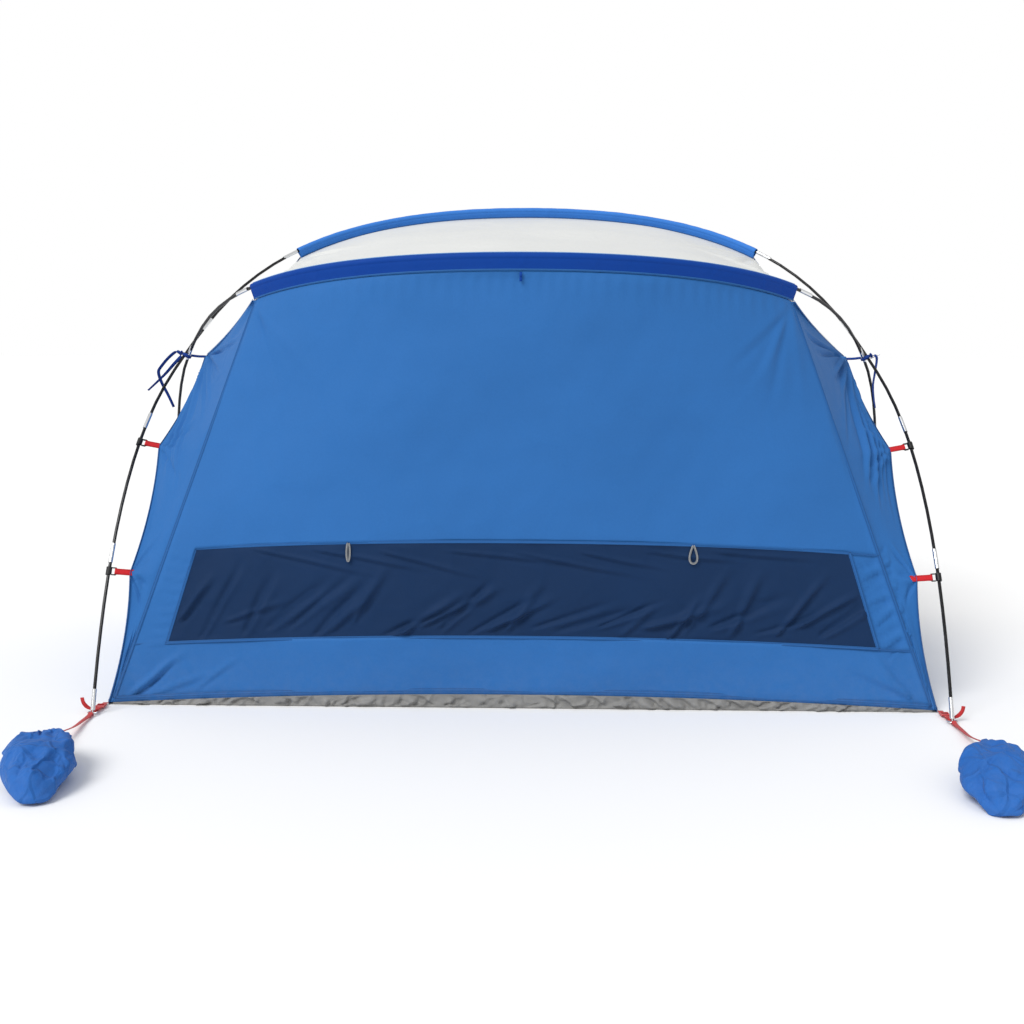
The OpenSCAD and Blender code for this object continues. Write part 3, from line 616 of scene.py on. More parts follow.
def clothFinish(name, colour, roughness=0.66, sheen=0.03, threads=5200.0, shade=0.16, crease=0.0012,
                dust=0.05,
                sharp=0.5, creaseScale=6.0, alpha=1.0):
    made, tree, shader = newFinish(name, Sheen_Weight=sheen, Sheen_Roughness=0.4, Specular_IOR_Level=0.16,
                                   Alpha=alpha)
    weave = useGroup(tree, "weave", Colour=(*colour, 1), Threads=threads, Shade_Change=shade)
    dusty = useGroup(tree, "dust", Colour=weave["Colour"], Amount=dust)
    tree.links.new(dusty["Colour"], shader.inputs["Base Color"])
    crumple = useGroup(tree, "crumple", Scale=creaseScale, Sharpness=sharp)
    tree.links.new(placeMath(tree, "ADD", roughness - 0.05,
                             placeMath(tree, "MULTIPLY", crumple["Height"], 0.1)),
                   shader.inputs["Roughness"])
    addBump(tree, shader, (crumple["Height"], crease, 0.6), (weave["Height"], 0.00012, 0.25))
    return made


def tapeFinish(name, colour, width, roughness=0.7, rib=0.0018, slant=0.4, thread=(0.3, 0.01, 0.01),
               dust=0.12):
    made, tree, shader = newFinish(name, Sheen_Weight=0.08, Specular_IOR_Level=0.2)
    tape = useGroup(tree, "tape", Colour=(*colour, 1), Width=width, Rib=rib, Slant=slant)
    stitched = useGroup(tree, "stitch", Colour=tape["Colour"], Thread=(*thread, 1), Width=width,
                        Inset=width * 0.16)
    dusty = useGroup(tree, "dust", Colour=stitched["Colour"], Amount=dust)
    tree.links.new(dusty["Colour"], shader.inputs["Base Color"])
    tree.links.new(placeMath(tree, "ADD", roughness, placeMath(tree, "MULTIPLY", tape["Height"], 0.08)),
                   shader.inputs["Roughness"])
    addBump(tree, shader, (tape["Height"], 0.0004, 0.8), (stitched["Height"], 0.0003, 0.7))
    return made


def seamFinish(name, colour, width, thread):  # folded seam or hem of the same cloth, with its stitching
    made, tree, shader = newFinish(name, Sheen_Weight=0.03, Specular_IOR_Level=0.16)
    weave = useGroup(tree, "weave", Colour=(*colour, 1), Threads=5200.0)
    stitched = useGroup(tree, "stitch", Colour=weave["Colour"], Thread=(*thread, 1), Width=width,
                        Inset=width * 0.2)
    dusty = useGroup(tree, "dust", Colour=stitched["Colour"], Amount=0.06)
    tree.links.new(dusty["Colour"], shader.inputs["Base Color"])
    crumple = useGroup(tree, "crumple", Scale=30.0, Sharpness=0.2)
    tree.links.new(placeMath(tree, "ADD", 0.56, placeMath(tree, "MULTIPLY", crumple["Height"], 0.12)),
                   shader.inputs["Roughness"])
    addBump(tree, shader, (crumple["Height"], 0.0012, 0.6), (stitched["Height"], 0.0004, 0.7))
    return made


def hardFinish(name, colour, worn, roughness, amount=0.3, metallic=0.0, shine=0.5, bumpDistance=0.00015):
    made, tree, shader = newFinish(name, Metallic=metallic, Specular_IOR_Level=shine)
    marks = useGroup(tree, "marks", Colour=(*colour, 1), Worn=(*worn, 1), Amount=amount, Roughness=roughness)
    tree.links.new(marks["Colour"], shader.inputs["Base Color"])
    tree.links.new(marks["Roughness"], shader.inputs["Roughness"])
    addBump(tree, shader, (marks["Height"], bumpDistance, 0.5))
    return made


# the third blue, used on the front sleeve, is the sleeve blue made lighter for the light falling on it from
# above: painted light
blue, deepBlue, paintedLitBlue = (0.024, 0.130, 0.378), (0.0005, 0.043, 0.270), (0.038, 0.180, 0.570)
finishes = {
    "canopy_blue": clothFinish("canopyTaffeta", blue),
    "bag": clothFinish("sandbagTaffeta", (0.019, 0.120, 0.415), crease=0.006, sharp=0.9, creaseScale=16.0,
                       dust=0.05),
    # the flap's blue is the canopy blue made darker for the shade on the flap behind the mesh: painted shade
    "flap": clothFinish("flapTaffetaPaintedShade", (0.020, 0.110, 0.330), crease=0.002),
    "sleeve_dark": clothFinish("rearSleeveTaffeta", deepBlue, sheen=0.02),
    # front sleeve: a lighter copy of the sleeve blue, painted light from above
    "sleeve_light": clothFinish("frontSleeveTaffetaPaintedLight", paintedLitBlue),
    "roof_silver": clothFinish("silverCoatedRoof", (0.66, 0.67, 0.66), roughness=0.42, sheen=0.02,
                               shade=0.08, dust=0.0),
    "mesh_dark": clothFinish("insectMesh", (0.0055, 0.026, 0.082), roughness=0.7, threads=2600.0, shade=0.3,
                             crease=0.003, dust=0.0, alpha=0.97),
    "ground_grey": clothFinish("wovenGroundsheet", (0.215, 0.215, 0.213), roughness=0.5, threads=1800.0,
                               shade=0.5,
                               crease=0.006, sharp=0.9, creaseScale=12.0, dust=0.12),
    "floorWeave": clothFinish("floorWeave", (0.205, 0.205, 0.203), roughness=0.5, threads=1800.0, shade=0.4,
                              crease=0.003, sharp=0.12, creaseScale=3.0, dust=0.1),
    "piping": clothFinish("paleBlueBinding", (0.13, 0.29, 0.56), crease=0.0004, dust=0.0),
    "webbing_red": tapeFinish("redWebbing", (0.60, 0.016, 0.022), 0.02),
    "strap_red": tapeFinish("braidedStrap", (0.52, 0.040, 0.045), 0.015, rib=0.0045, slant=1.6,
                            thread=(0.5, 0.05, 0.05)),
    "tie_navy": tapeFinish("tieTape", (0.006, 0.045, 0.28), 0.012, rib=0.0012, thread=(0.01, 0.02, 0.12),
                           dust=0.0),
    "loop_grey": tapeFinish("greyElastic", (0.21, 0.22, 0.23), 0.0094, rib=0.0012, slant=1.2,
                            thread=(0.5, 0.5, 0.5), dust=0.0),
    "seam": seamFinish("blueSeam", (0.018, 0.102, 0.305), 0.012, (0.008, 0.04, 0.14)),
    "pole_black": hardFinish("glossyPoleTube", (0.006, 0.006, 0.007), (0.05, 0.05, 0.055), 0.26, 0.15,
                             shine=0.3),
    "ferrule_steel": hardFinish("rolledFerrule", (0.78, 0.79, 0.80), (0.45, 0.45, 0.46), 0.24, 0.25,
                                metallic=1.0),
    "ring_steel": hardFinish("platedRing", (0.72, 0.72, 0.74), (0.35, 0.33, 0.30), 0.20, 0.4, metallic=1.0),
    "clip_black": hardFinish("mouldedClip", (0.008, 0.008, 0.009), (0.06, 0.06, 0.06), 0.42, 0.3, shine=0.3,
                             bumpDistance=0.0003),
    "adjuster_red": hardFinish("mouldedBuckle", (0.46, 0.012, 0.02), (0.7, 0.25, 0.25), 0.38, 0.4,
                               bumpDistance=0.0003),
    "elastic_cord": hardFinish("shockCord", (0.05, 0.05, 0.05), (0.2, 0.2, 0.2), 0.7, 0.3),
}


def addSheet(piece, nodes, key):  # hides the solid model's parts that a cloth panel replaces and gives the panel its finish
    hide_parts(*nodes)
    finish(piece, key)


def finish(piece, key):
    piece.data.materials.clear()
    piece.data.materials.append(finishes[key])
    return piece


for tail, _ in tiePieces.values():
    finish(tail, "tie_navy")
for loop in loopPieces:
    finish(loop, "loop_grey")
print("stage: finishes")

# folds and ripples in the cloth


def foldField(u, v, folds, crisp=False):  # a fold is (start u, v, end u, v, width, height)
    total = np.zeros_like(u)
    for u0, v0, u1, v1, width, height in folds:
        du, dv = u1 - u0, v1 - v0
        long = math.hypot(du, dv)
        t = ((u - u0) * du + (v - v0) * dv) / long**2
        off = ((u - u0) * dv - (v - v0) * du) / long
        off = off + 0.12 * width * np.sin(9 * t + 3 * u0)
        spread = width * (0.55 + 0.9 * np.clip(t, 0, 1))
        ends = smoothStep(t / 0.16) * smoothStep((1 - t) / 0.5)
        ridge = np.exp(-np.abs(off) / spread) if crisp else np.exp(-((off / spread) ** 2))
        total += height * ends * (ridge - 0.55 * np.exp(-(((off - 1.5 * spread) / (1.2 * spread)) ** 2)))
    return total


def swell(u, v, seed, wavelength, height, count=9):  # slow, uneven waves, the same each run
    rng = np.random.default_rng(seed)
    total = np.zeros_like(u)
    for _ in range(count):
        turn, phase, stretch = rng.uniform(0, np.pi), rng.uniform(0, 6.28), rng.uniform(0.6, 1.7)
        total += np.sin(6.283 * (u * np.cos(turn) + v * np.sin(turn)) / (wavelength * stretch) + phase)
    return height * total / math.sqrt(count)


# folds that run out of one point towards a line between two others
def fan(seed, start, ends, count, width, height, jitter=0.02):
    rng = np.random.default_rng(seed)
    out = []
    for k in range(count):
        t = (k + rng.uniform(0.15, 0.85)) / count
        end = [mix(ends[0][i], ends[1][i], t) + rng.uniform(-jitter, jitter) for i in (0, 1)]
        reach = rng.uniform(0.55, 1.0)
        out.append((start[0] + rng.uniform(-jitter, jitter) * 0.4,
                    start[1] + rng.uniform(-jitter, jitter) * 0.4,
                    mix(start[0], end[0], reach), mix(start[1], end[1], reach),
                    width * rng.uniform(0.7, 1.3), height * rng.uniform(0.5, 1.2) * rng.choice([-1, 1])))
    return out


def rimMask(grid, reach=0.03):  # 0 on the border of a panel, 1 inside it
    uv = gridMetres(grid)
    u, v = uv[..., 0], uv[..., 1]
    d = np.minimum(np.minimum(u, u.max() - u), np.minimum(v, v.max() - v))
    return smoothStep(d / reach)


def rippled(grid, amount, reach=0.03):
    return grid + (amount * rimMask(grid, reach))[..., None] * gridNormals(grid)


# a folded strip of cloth that lies on a panel along a line of points
def tapeOn(name, path, normal, width, lift, body="tent", thick=0.0011):
    path, normal = np.asarray(path, float), np.asarray(normal, float)
    normal = np.broadcast_to(normal, path.shape)
    side = np.cross(unit(np.gradient(path, axis=0)), normal)
    return strap(name, path + lift * unit(normal), unit(side), width, thick, body)

# rear wall, window and flap

rearWallLook = {"columns": 330, "waveHeight": 0.0048, "foldGain": 3.0, "gatherHeight": 0.0012}
sill, head, share = tent["windowSill"], tent["windowHead"], tent["windowShare"]
wallShares = np.unique(np.concatenate([np.linspace(-1, -share, 16), np.linspace(share, 1, 16),
                                       np.linspace(-share, share, rearWallLook["columns"] - 30)]))
wallRises = np.unique(np.concatenate([np.linspace(0, sill, 20), np.linspace(sill, head, 30),
                                      np.linspace(head, 1, 82)]))
wallGrid = rearPanel(*np.meshgrid(wallShares, wallRises))
wallX, wallZ = wallGrid[..., 0], wallGrid[..., 2]
wallFolds = [(-1.29, 0.02, -1.07, 0.19, 0.010, 0.0036), (-1.27, 0.03, -1.13, 0.13, 0.007, 0.0026),
             (-1.22, 0.05, -1.10, 0.16, 0.007, -0.0024), (-1.25, 0.02, -0.96, 0.12, 0.008, 0.0018),
             (-1.06, 0.05, -0.90, 0.17, 0.007, 0.0016),
             (1.28, 0.02, 1.12, 0.19, 0.009, 0.0034), (1.30, 0.02, 1.02, 0.14, 0.010, -0.0022),
             (1.24, 0.04, 1.13, 0.16, 0.006, 0.0022)]
wallFolds += [(1.075 + 0.10 * k / 8, 0.45 - 0.29 * k / 8, 1.21 + 0.06 * k / 8,
               0.49 - 0.28 * k / 8 + 0.02 * (k % 3),
               0.006, 0.0030 * (1 if k % 2 else -0.7)) for k in range(9)]
wallFolds += [(-1.07 - 0.08 * k / 5, 0.46 - 0.26 * k / 5, -1.18 - 0.06 * k / 5, 0.475 - 0.28 * k / 5, 0.006,
               0.0016 * (1 if k % 2 else -0.7)) for k in range(6)]
wallFolds += fan(5, (-0.88, 1.30), [(-1.0, 0.75), (-0.45, 0.95)], 5, 0.016, 0.0012)
wallFolds += fan(6, (0.88, 1.30), [(1.0, 0.75), (0.45, 0.95)], 5, 0.016, 0.0012)
gather = np.sin(wallX * 6.283 / 0.043 + 2 * np.sin(wallX * 9))
gather = gather * np.exp(-((1 - wallRises[:, None]) / 0.05) ** 2)
wallBulge = swell(wallX, wallZ, 21, 0.62, rearWallLook["waveHeight"])
wallBulge = wallBulge + swell(wallX, wallZ, 22, 0.17, 0.0008) \
    + rearWallLook["foldGain"] * foldField(wallX, wallZ, wallFolds) + rearWallLook["gatherHeight"] * gather
wallGrid = rippled(wallGrid, wallBulge, 0.025)
midShare, midRise = (wallShares[1:] + wallShares[:-1]) / 2, (wallRises[1:] + wallRises[:-1]) / 2
inWindow = (np.abs(midShare)[None] < share) & (midRise[:, None] > sill) & (midRise[:, None] < head)
rearWall = gridSheet("rearWall", wallGrid, "tent", ~inWindow)
addSheet(rearWall, ["rear_wall_upper", "rear_wall_lower", "window_sides"], "canopy_blue")

windowLook = {"columns": 300, "rows": 60, "foldHeight": 0.016}
meshFlat = rearPanel(*np.meshgrid(np.linspace(-share, share, windowLook["columns"]),
                                  np.linspace(sill, head, windowLook["rows"])))
meshX, meshZ = meshFlat[..., 0], meshFlat[..., 2]
rng = np.random.default_rng(31)
meshFolds = [(x, rng.uniform(0.20, 0.27), x + rng.uniform(0.12, 0.34), rng.uniform(0.33, 0.50),
              rng.uniform(0.007, 0.014),
              windowLook["foldHeight"] * rng.uniform(0.4, 1.1) * rng.choice([-1, 1]))
             for x in np.linspace(-1.12, 0.95, 30)]
meshFolds += [(x, 0.52, x + rng.uniform(0.25, 0.5), rng.uniform(0.42, 0.49), 0.007, 0.007)
              for x in np.linspace(-0.9, 0.6, 8)]
meshBulge = foldField(meshX, meshZ, meshFolds) + swell(meshX, meshZ, 33, 0.3, 0.0025)
windowMesh = gridSheet("windowMesh", rippled(meshFlat, np.maximum(meshBulge, -0.007), 0.02), "tent",
                       thick=0.0006)
addSheet(windowMesh, ["window_mesh"], "mesh_dark")

flapMargin, flapGap = 0.008, 0.010
flapFlat = rearPanel(*np.meshgrid(np.linspace(-share + flapMargin, share - flapMargin, 220),
                                  np.linspace(sill + flapMargin, head - flapMargin, 40))) + vec(0, flapGap, 0)
flapBulge = swell(flapFlat[..., 0], flapFlat[..., 2], 37, 0.22, 0.0016)
flapBulge = np.clip(flapBulge, -0.003, 0.004)
# the flap's finish is a darker blue, painted shade
windowFlap = gridSheet("windowFlap", rippled(flapFlat, flapBulge, 0.02), "window_flap")
addSheet(windowFlap, ["window_flap"], "flap")

wallOut = vec(0, -1, 0.06)
seamTapes = []
for key, tapeShares, tapeRises in (
        ("windowSeamTop", np.linspace(-share - 0.004, share + 0.004, 160), head),
        ("windowSeamBottom", np.linspace(-share - 0.006, share + 0.006, 160), sill),
        ("windowSeamLeft", -share, np.linspace(sill, head, 40)),
        ("windowSeamRight", share, np.linspace(sill, head, 40))):
    tapeShares, tapeRises = np.broadcast_arrays(tapeShares, tapeRises)
    seamTapes.append(tapeOn(key, rearPanel(tapeShares, tapeRises), wallOut, 0.010, 0.0014))
for key, rise in (("wallSeamTopLeft", head), ("wallSeamBottomLeft", sill)):
    for side in (-1, 1):
        path = rearPanel(side * np.linspace(share, 1, 16), np.full(16, rise))
        seamTapes.append(tapeOn(key.replace("Left", sideNames[side].title()), path, wallOut, 0.007, 0.0010))
hemLine = rearPanel(np.linspace(-0.998, 0.998, 200), np.full(200, 0.009))
seamTapes.append(tapeOn("rearHemTape", hemLine, wallOut, 0.017, 0.0013))
for tape in seamTapes:
    finish(tape, "seam")
print("stage: rear wall and window")

# side panels

sideLook = {"gussetColumns": 60, "wallColumns": 120, "waveHeight": 0.004, "gussetGain": 2.9, "wallGain": 2.0}


for side in (-1, 1):
    label = sideNames[side].title()
    outer = np.vstack([rearLegEdge[:-1], rearWingEdge])
    runs = runLengths(outer)
    picks = np.interp(np.linspace(0, runs[-1], 190), runs, np.arange(len(outer)))
    outerFine = np.stack([np.interp(picks, np.arange(len(outer)), outer[:, k]) for k in range(3)], -1)
    t = np.linspace(0, 1, sideLook["gussetColumns"])
    inner = rearSeam(outerFine[:, 2])
    gussetFlat = mix(inner[:, None], outerFine[:, None], t[None, :, None])
    gu, gv = np.broadcast_to(t * 0.35, gussetFlat.shape[:2]), gussetFlat[..., 2]
    gussetFolds = fan(41 + side, (0.34, 1.11), [(0.02, 0.60), (0.30, 0.45)], 7, 0.010, 0.0046)
    gussetFolds += fan(44 + side, (0.34, 1.13), [(0.02, 1.26), (0.03, 0.80)], 6, 0.008, 0.0036)
    gussetFolds += fan(47 + side, (0.345, 0.82), [(0.05, 0.62), (0.08, 0.98)], 4, 0.010, 0.0022)
    gussetFolds += fan(50 + side, (0.345, 0.42), [(0.03, 0.25), (0.05, 0.58)], 5, 0.009, 0.0026)
    gussetFolds += fan(53 + side, (0.05, 0.02), [(0.32, 0.30), (0.06, 0.40)], 4, 0.009, 0.0026)
    if side > 0:
        gussetFolds += [(0.01, 0.50 - 0.035 * k, 0.13, 0.52 - 0.04 * k, 0.007,
                         0.0030 * (1 if k % 2 else -0.7))
                        for k in range(9)]
    bulge = sideLook["gussetGain"] * foldField(gu, gv, gussetFolds)
    bulge = bulge + swell(gu * 1.3, gv, 60 + side, 0.34, sideLook["waveHeight"] * 0.6)
    gusset = gridSheet(f"rearGusset{label}", mirrored(rippled(gussetFlat, bulge, 0.02), side), "tent")
    addSheet(gusset, [f"rear_gusset_{sideNames[side]}"], "canopy_blue")

    rearLine, frontLine = evenly(rearLegEdge, 160), evenly(frontLegEdge, 160)
    t = np.linspace(0, 1, sideLook["wallColumns"])
    wallSide = mix(rearLine[:, None], frontLine[:, None], t[None, :, None])
    sy, sz = wallSide[..., 1], wallSide[..., 2]
    sideFolds = fan(71 + side, (-0.12, 1.10), [(-0.55, 0.25), (0.45, 0.25)], 11, 0.013, 0.0050, 0.04)
    for end, level, seed in ((-1, 0, 74), (-1, 1, 77), (1, 0, 80), (1, 1, 83)):
        pull = pullPoint(end, level)
        sideFolds += fan(seed + side, (pull[1] - 0.01 * end, pull[2]),
                         [(pull[1] - 0.45 * end, pull[2] - 0.28), (pull[1] - 0.42 * end, pull[2] + 0.16)],
                         5, 0.012, 0.0038, 0.03)
    for end in (-1, 1):
        sideFolds += fan(86 + side + 5 * end, (end * 0.74, 0.03), [(end * 0.3, 0.10), (end * 0.45, 0.45)],
                         4, 0.011, 0.0034)
    bulge = sideLook["wallGain"] * foldField(sy, sz, sideFolds)
    bulge = bulge + swell(sy, sz, 92 + side, 0.42, sideLook["waveHeight"])
    sideWall = gridSheet(f"sideWall{label}", mirrored(rippled(wallSide, bulge, 0.02), side), "tent")
    addSheet(sideWall, [f"side_wall_{sideNames[side]}"], "canopy_blue")

    hemEnds = np.linspace(-1, 1, 60)[:, None] * vec(0, tent["floorEdge"], 0)
    hemEnds = hemEnds + vec(tent["cornerWidth"], 0, 0.0088)
    bindings = [("sideHemTape", hemEnds, vec(1, 0, 0)), ("rearLegBinding", rearLegEdge, vec(1, -0.55, 0.2)),
                ("frontLegBinding", frontLegEdge, vec(1, 0.15, 0.3)),
                ("rearSeamBinding", rearSeam(np.linspace(0.02, 1.30, 120)), vec(0.25, -1, 0.06)),
                ("rearWingBinding", rearWingEdge[1:], vec(0.55, -0.6, 0.5)),
                ("frontWingBinding", frontWingEdge[1:], vec(0.6, 0.5, 0.5))]
    for key, path, out in bindings:
        width = 0.016 if key == "sideHemTape" else 0.012
        line = mirrored(evenly(path, max(30, len(path))), side)
        binding = tapeOn(key + label, line, mirrored(out, side), width, 0.0010)
        finish(binding, "seam")
print("stage: side panels")

# roof

roofLook = {"rows": 70, "middle": 150, "wing": 26, "sag": 0.009}
middle = np.linspace(1, -1, roofLook["middle"])[1:-1]
backWing, aheadWing = evenly(rearWingEdge, roofLook["wing"]), evenly(frontWingEdge, roofLook["wing"])
backEdge = np.vstack([backWing, rearTop(middle), mirrored(backWing[::-1], -1)])
aheadEdge = np.vstack([aheadWing, frontTop(middle), mirrored(aheadWing[::-1], -1)])
t = np.linspace(0, 1, roofLook["rows"])
roofFlat = mix(backEdge[None], aheadEdge[None], t[:, None, None])
roofX, roofY = roofFlat[..., 0], roofFlat[..., 1]
widthHere = np.linalg.norm(aheadEdge - backEdge, axis=1)[None]
sag = -roofLook["sag"] * 4 * (t * (1 - t))[:, None] * np.clip(widthHere / 1.2, 0, 1)
roofFolds = []
for side in (-1, 1):
    tip = (side * 1.17, -0.13)
    roofFolds += fan(101 + side, tip, [(side * 0.55, -0.45), (side * 0.6, 0.35)], 9, 0.014, 0.0046, 0.03)
    roofFolds += fan(105 + side, (side * 0.90, -0.56), [(side * 0.4, -0.2), (side * 0.8, 0.1)], 5, 0.014,
                     0.0026, 0.03)
    roofFolds += fan(109 + side, (side * 0.91, 0.36), [(side * 0.4, 0.1), (side * 0.9, -0.1)], 5, 0.014,
                     0.0026, 0.03)
roofBulge = 1.7 * foldField(roofX, roofY, roofFolds) + swell(roofX, roofY, 113, 0.5, 0.003)
roofGrid = rippled(roofFlat, roofBulge, 0.03)
roofGrid[..., 2] += sag
roof = gridSheet("silverRoof", roofGrid, "tent")
addSheet(roof, ["roof"], "roof_silver")
print("stage: roof")

# sleeves

sleeveLook = {"alongSteps": 330, "wallThickness": 0.0009}


def makeSleeve(name, route, length, drop, key, node, seed):
    radius = tent["channel"] + 0.0008
    over = [(radius * math.cos(a), radius * math.sin(a)) for a in np.radians(np.linspace(-42, 222, 22))]
    down = np.linspace(0, 1, 12)[1:]
    rightSide = [(mix(over[0][0], 0.0012, smoothStep(d)), mix(over[0][1], -drop, d)) for d in down[::-1]]
    leftSide = [(mix(over[-1][0], -0.0012, smoothStep(d)), mix(over[-1][1], -drop, d)) for d in down]
    profile = np.array(rightSide + over + leftSide)
    s = np.linspace((route["length"] - length) / 2, (route["length"] + length) / 2, sleeveLook["alongSteps"])
    centre, way = along(route, s), heading(route, s)
    up = squareTo(np.broadcast_to(vec(0, 0, 1), way.shape), way)
    side = np.cross(up, way)
    flat = centre[:, None] + profile[None, :, :1] * side[:, None] + profile[None, :, 1:] * up[:, None]
    v = np.broadcast_to(runLengths(np.c_[profile, np.zeros(len(profile))])[None], flat.shape[:2])
    u = np.broadcast_to(s[:, None], flat.shape[:2])
    rng = np.random.default_rng(seed)
    folds = []
    for k in range(46):
        start = s[0] + rng.uniform(0, length)
        folds.append((start, rng.choice([0.006, v.max() - 0.006]), start + rng.uniform(-0.03, 0.03),
                      v.max() / 2,
                      0.006, 0.0011 * rng.uniform(0.3, 1.0)))
    bulge = foldField(u, v, folds) + swell(u, v, seed + 1, 0.09, 0.0005)
    edge = smoothStep(np.minimum(u - s[0], s[-1] - u) / 0.01) * 0.8 + 0.2
    grid = flat + (np.abs(bulge) * edge)[..., None] * gridNormals(flat)
    sleeve = gridSheet(name, grid, "tent", thick=sleeveLook["wallThickness"])
    addSheet(sleeve, [node], key)
    for index, face in enumerate((1, -1)):
        line = centre + up * -(drop - 0.002) + face * side * 0.0028
        seam = strap(f"{name}Stitching{index + 1}", line[::2], up[::2], 0.006, 0.0008, "tent")
        finish(seam, "seam")
    return centre, up


centre, up = makeSleeve("rearSleeve", rearRoute, tent["rearSleeve"], tent["rearDrop"], "sleeve_dark",
                        "rear_sleeve", 121)
ridge = centre + up * (tent["channel"] + 0.0022)
piping = roundCord("rearSleevePiping", ridge[1:-1], 0.0017, "tent", 8)
finish(piping, "piping")
# the front sleeve gets the lighter blue, painted light
makeSleeve("frontSleeve", frontRoute, tent["frontSleeve"], tent["frontDrop"], "sleeve_light", "front_sleeve",
           131)
print("stage: sleeves")

# groundsheet, skirt and hanging loop

floorLook = {"columns": 200, "rows": 120, "thick": 0.0012}
floorLow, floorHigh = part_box("floor")
fx, fy = np.meshgrid(np.linspace(floorLow.x, floorHigh.x, floorLook["columns"]),
                     np.linspace(floorLow.y, floorHigh.y, floorLook["rows"]))
floorFlat = np.stack([fx, fy, fx * 0 + 0.0014], -1)
rng = np.random.default_rng(141)
floorFolds = [(x, y, x + rng.uniform(-0.5, 0.5), y + rng.uniform(-0.4, 0.4), 0.009,
               0.0045 * rng.uniform(0.4, 1))
              for x, y in zip(rng.uniform(-1.2, 1.2, 60), rng.uniform(-0.65, 0.65, 60))]


def packingLine(place, pitch):  # the ridge left where the sheet was folded away
    return 0.0016 * np.exp(-((np.mod(place + pitch / 2, pitch) - pitch / 2) / 0.006) ** 2)


packed = packingLine(fx, 0.67) + packingLine(fy, 0.512)
rise = np.clip(foldField(fx, fy, floorFolds), 0, 0.006) + np.abs(swell(fx, fy, 142, 0.3, 0.0014)) + packed
floorGrid = floorFlat.copy()
floorGrid[..., 2] += rise * rimMask(floorFlat, 0.05)
groundSheet = gridSheet("groundSheet", floorGrid, "tent", thick=floorLook["thick"])
addSheet(groundSheet, ["floor"], "floorWeave")

skirtShares = np.linspace(-1, 1, 620)
skirtTop = rearHem(skirtShares)
skirtRows = np.linspace(0, 1, 16)
skirtBottom = skirtTop * vec(1, 0, 0) + vec(0, 0.001 - tent["floorEdge"], 0.0014)
skirtFlat = mix(skirtBottom[None], (skirtTop - vec(0, 0, 0.0006))[None], skirtRows[:, None, None])
sx, sz = skirtFlat[..., 0], skirtFlat[..., 2]
rng = np.random.default_rng(151)
skirtFolds = [(x, rng.uniform(0, 0.012), x + rng.uniform(-0.09, 0.09), rng.uniform(0.02, 0.045),
               rng.uniform(0.005, 0.011), 0.0125 * rng.uniform(0.3, 1.1) * rng.choice([-1, 1, 1]))
              for x in np.linspace(-1.3, 1.3, 110)]
skirtBulge = foldField(sx, sz, skirtFolds) + swell(sx, sz * 2, 152, 0.14, 0.0012)
skirt = gridSheet("groundSkirt", rippled(skirtFlat, np.clip(skirtBulge, -0.008, 0.012), 0.005), "tent")
addSheet(skirt, ["floor_skirt"], "ground_grey")

hangMiddle = rearPanel(0, 1) - vec(0, 0.001 + 0.004 + 0.0002, 0.014 + 0.006)
turn = np.radians(np.arange(10, 351, 10))
hangPath = hangMiddle + np.stack([turn * 0, -0.004 * np.cos(turn), 0.014 * np.sin(turn)], -1)
hangLoop = strap("hangLoop", hangPath, (1, 0, 0), 0.008, 0.0012, "tent")
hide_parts("hang_loop")
finish(hangLoop, "sleeve_dark")
print("stage: floor and skirt")

# webbing tabs on the pole clips

tabLook = {"width": 0.02, "thick": 0.0016, "eye": 0.0033, "patch": 0.022}
for side, end in corners:
    parts = []
    for level in (0, 1):
        place, up, way = clipFrame(end, level)
        out = np.cross(up, way)
        bar = place + tent["barReach"] * way
        reach = tent["tabReach"] + tabLook["patch"]
        turn = np.radians(np.linspace(70, 290, 23))
        eye = bar + tabLook["eye"] * (np.cos(turn)[:, None] * way + np.sin(turn)[:, None] * out)
        over = [place + d * way + 0.0011 * out for d in np.linspace(reach, 0.031, 12)]
        under = [place + d * way - 0.0011 * out for d in np.linspace(0.031, tent["tabReach"] + 0.002, 10)]
        path = mirrored(np.vstack([over, eye, under]), side)
        parts.append(strap("tab", path, mirrored(up, side), tabLook["width"], tabLook["thick"] * 0.8, None))
    tabs = joinInto(*parts)
    tabs.name = f"webbingTabs{endNames[end].title()}{sideNames[side].title()}"
    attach(tabs, "tent")
    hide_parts(f"tabs_{endNames[end]}_{sideNames[side]}")
    finish(tabs, "webbing_red")

# corner webbing, sandbag straps

cornerLook = {"ringRadius": 0.015, "ringHeight": 0.009, "width": 0.02, "thick": 0.0016, "start": 0.0206,
              "end": 0.1214,
              "tail": [(-12, 0, 1.6), (0, 0, 1.2), (10, 0, 4), (22, -2, 12), (30, -6, 26), (32, -10, 42)]}
strapLook = {"width": 0.015, "thick": 0.0016, "neck": vec(-0.008, -0.395, 0.064)}


def atFoot(points, side, end):  # local y runs from the foot into the tent
    points = np.asarray(points, float)
    return np.stack([side * (halfWidth + points[..., 0]), end * (halfDepth - points[..., 1]),
                     points[..., 2]], -1)


def ringEye(y, way, radius=0.0048):
    turn = np.radians(np.linspace(35, 325, 25))
    return [(0, y + way * radius * math.cos(a), cornerLook["ringHeight"] + radius * math.sin(a))
            for a in turn]


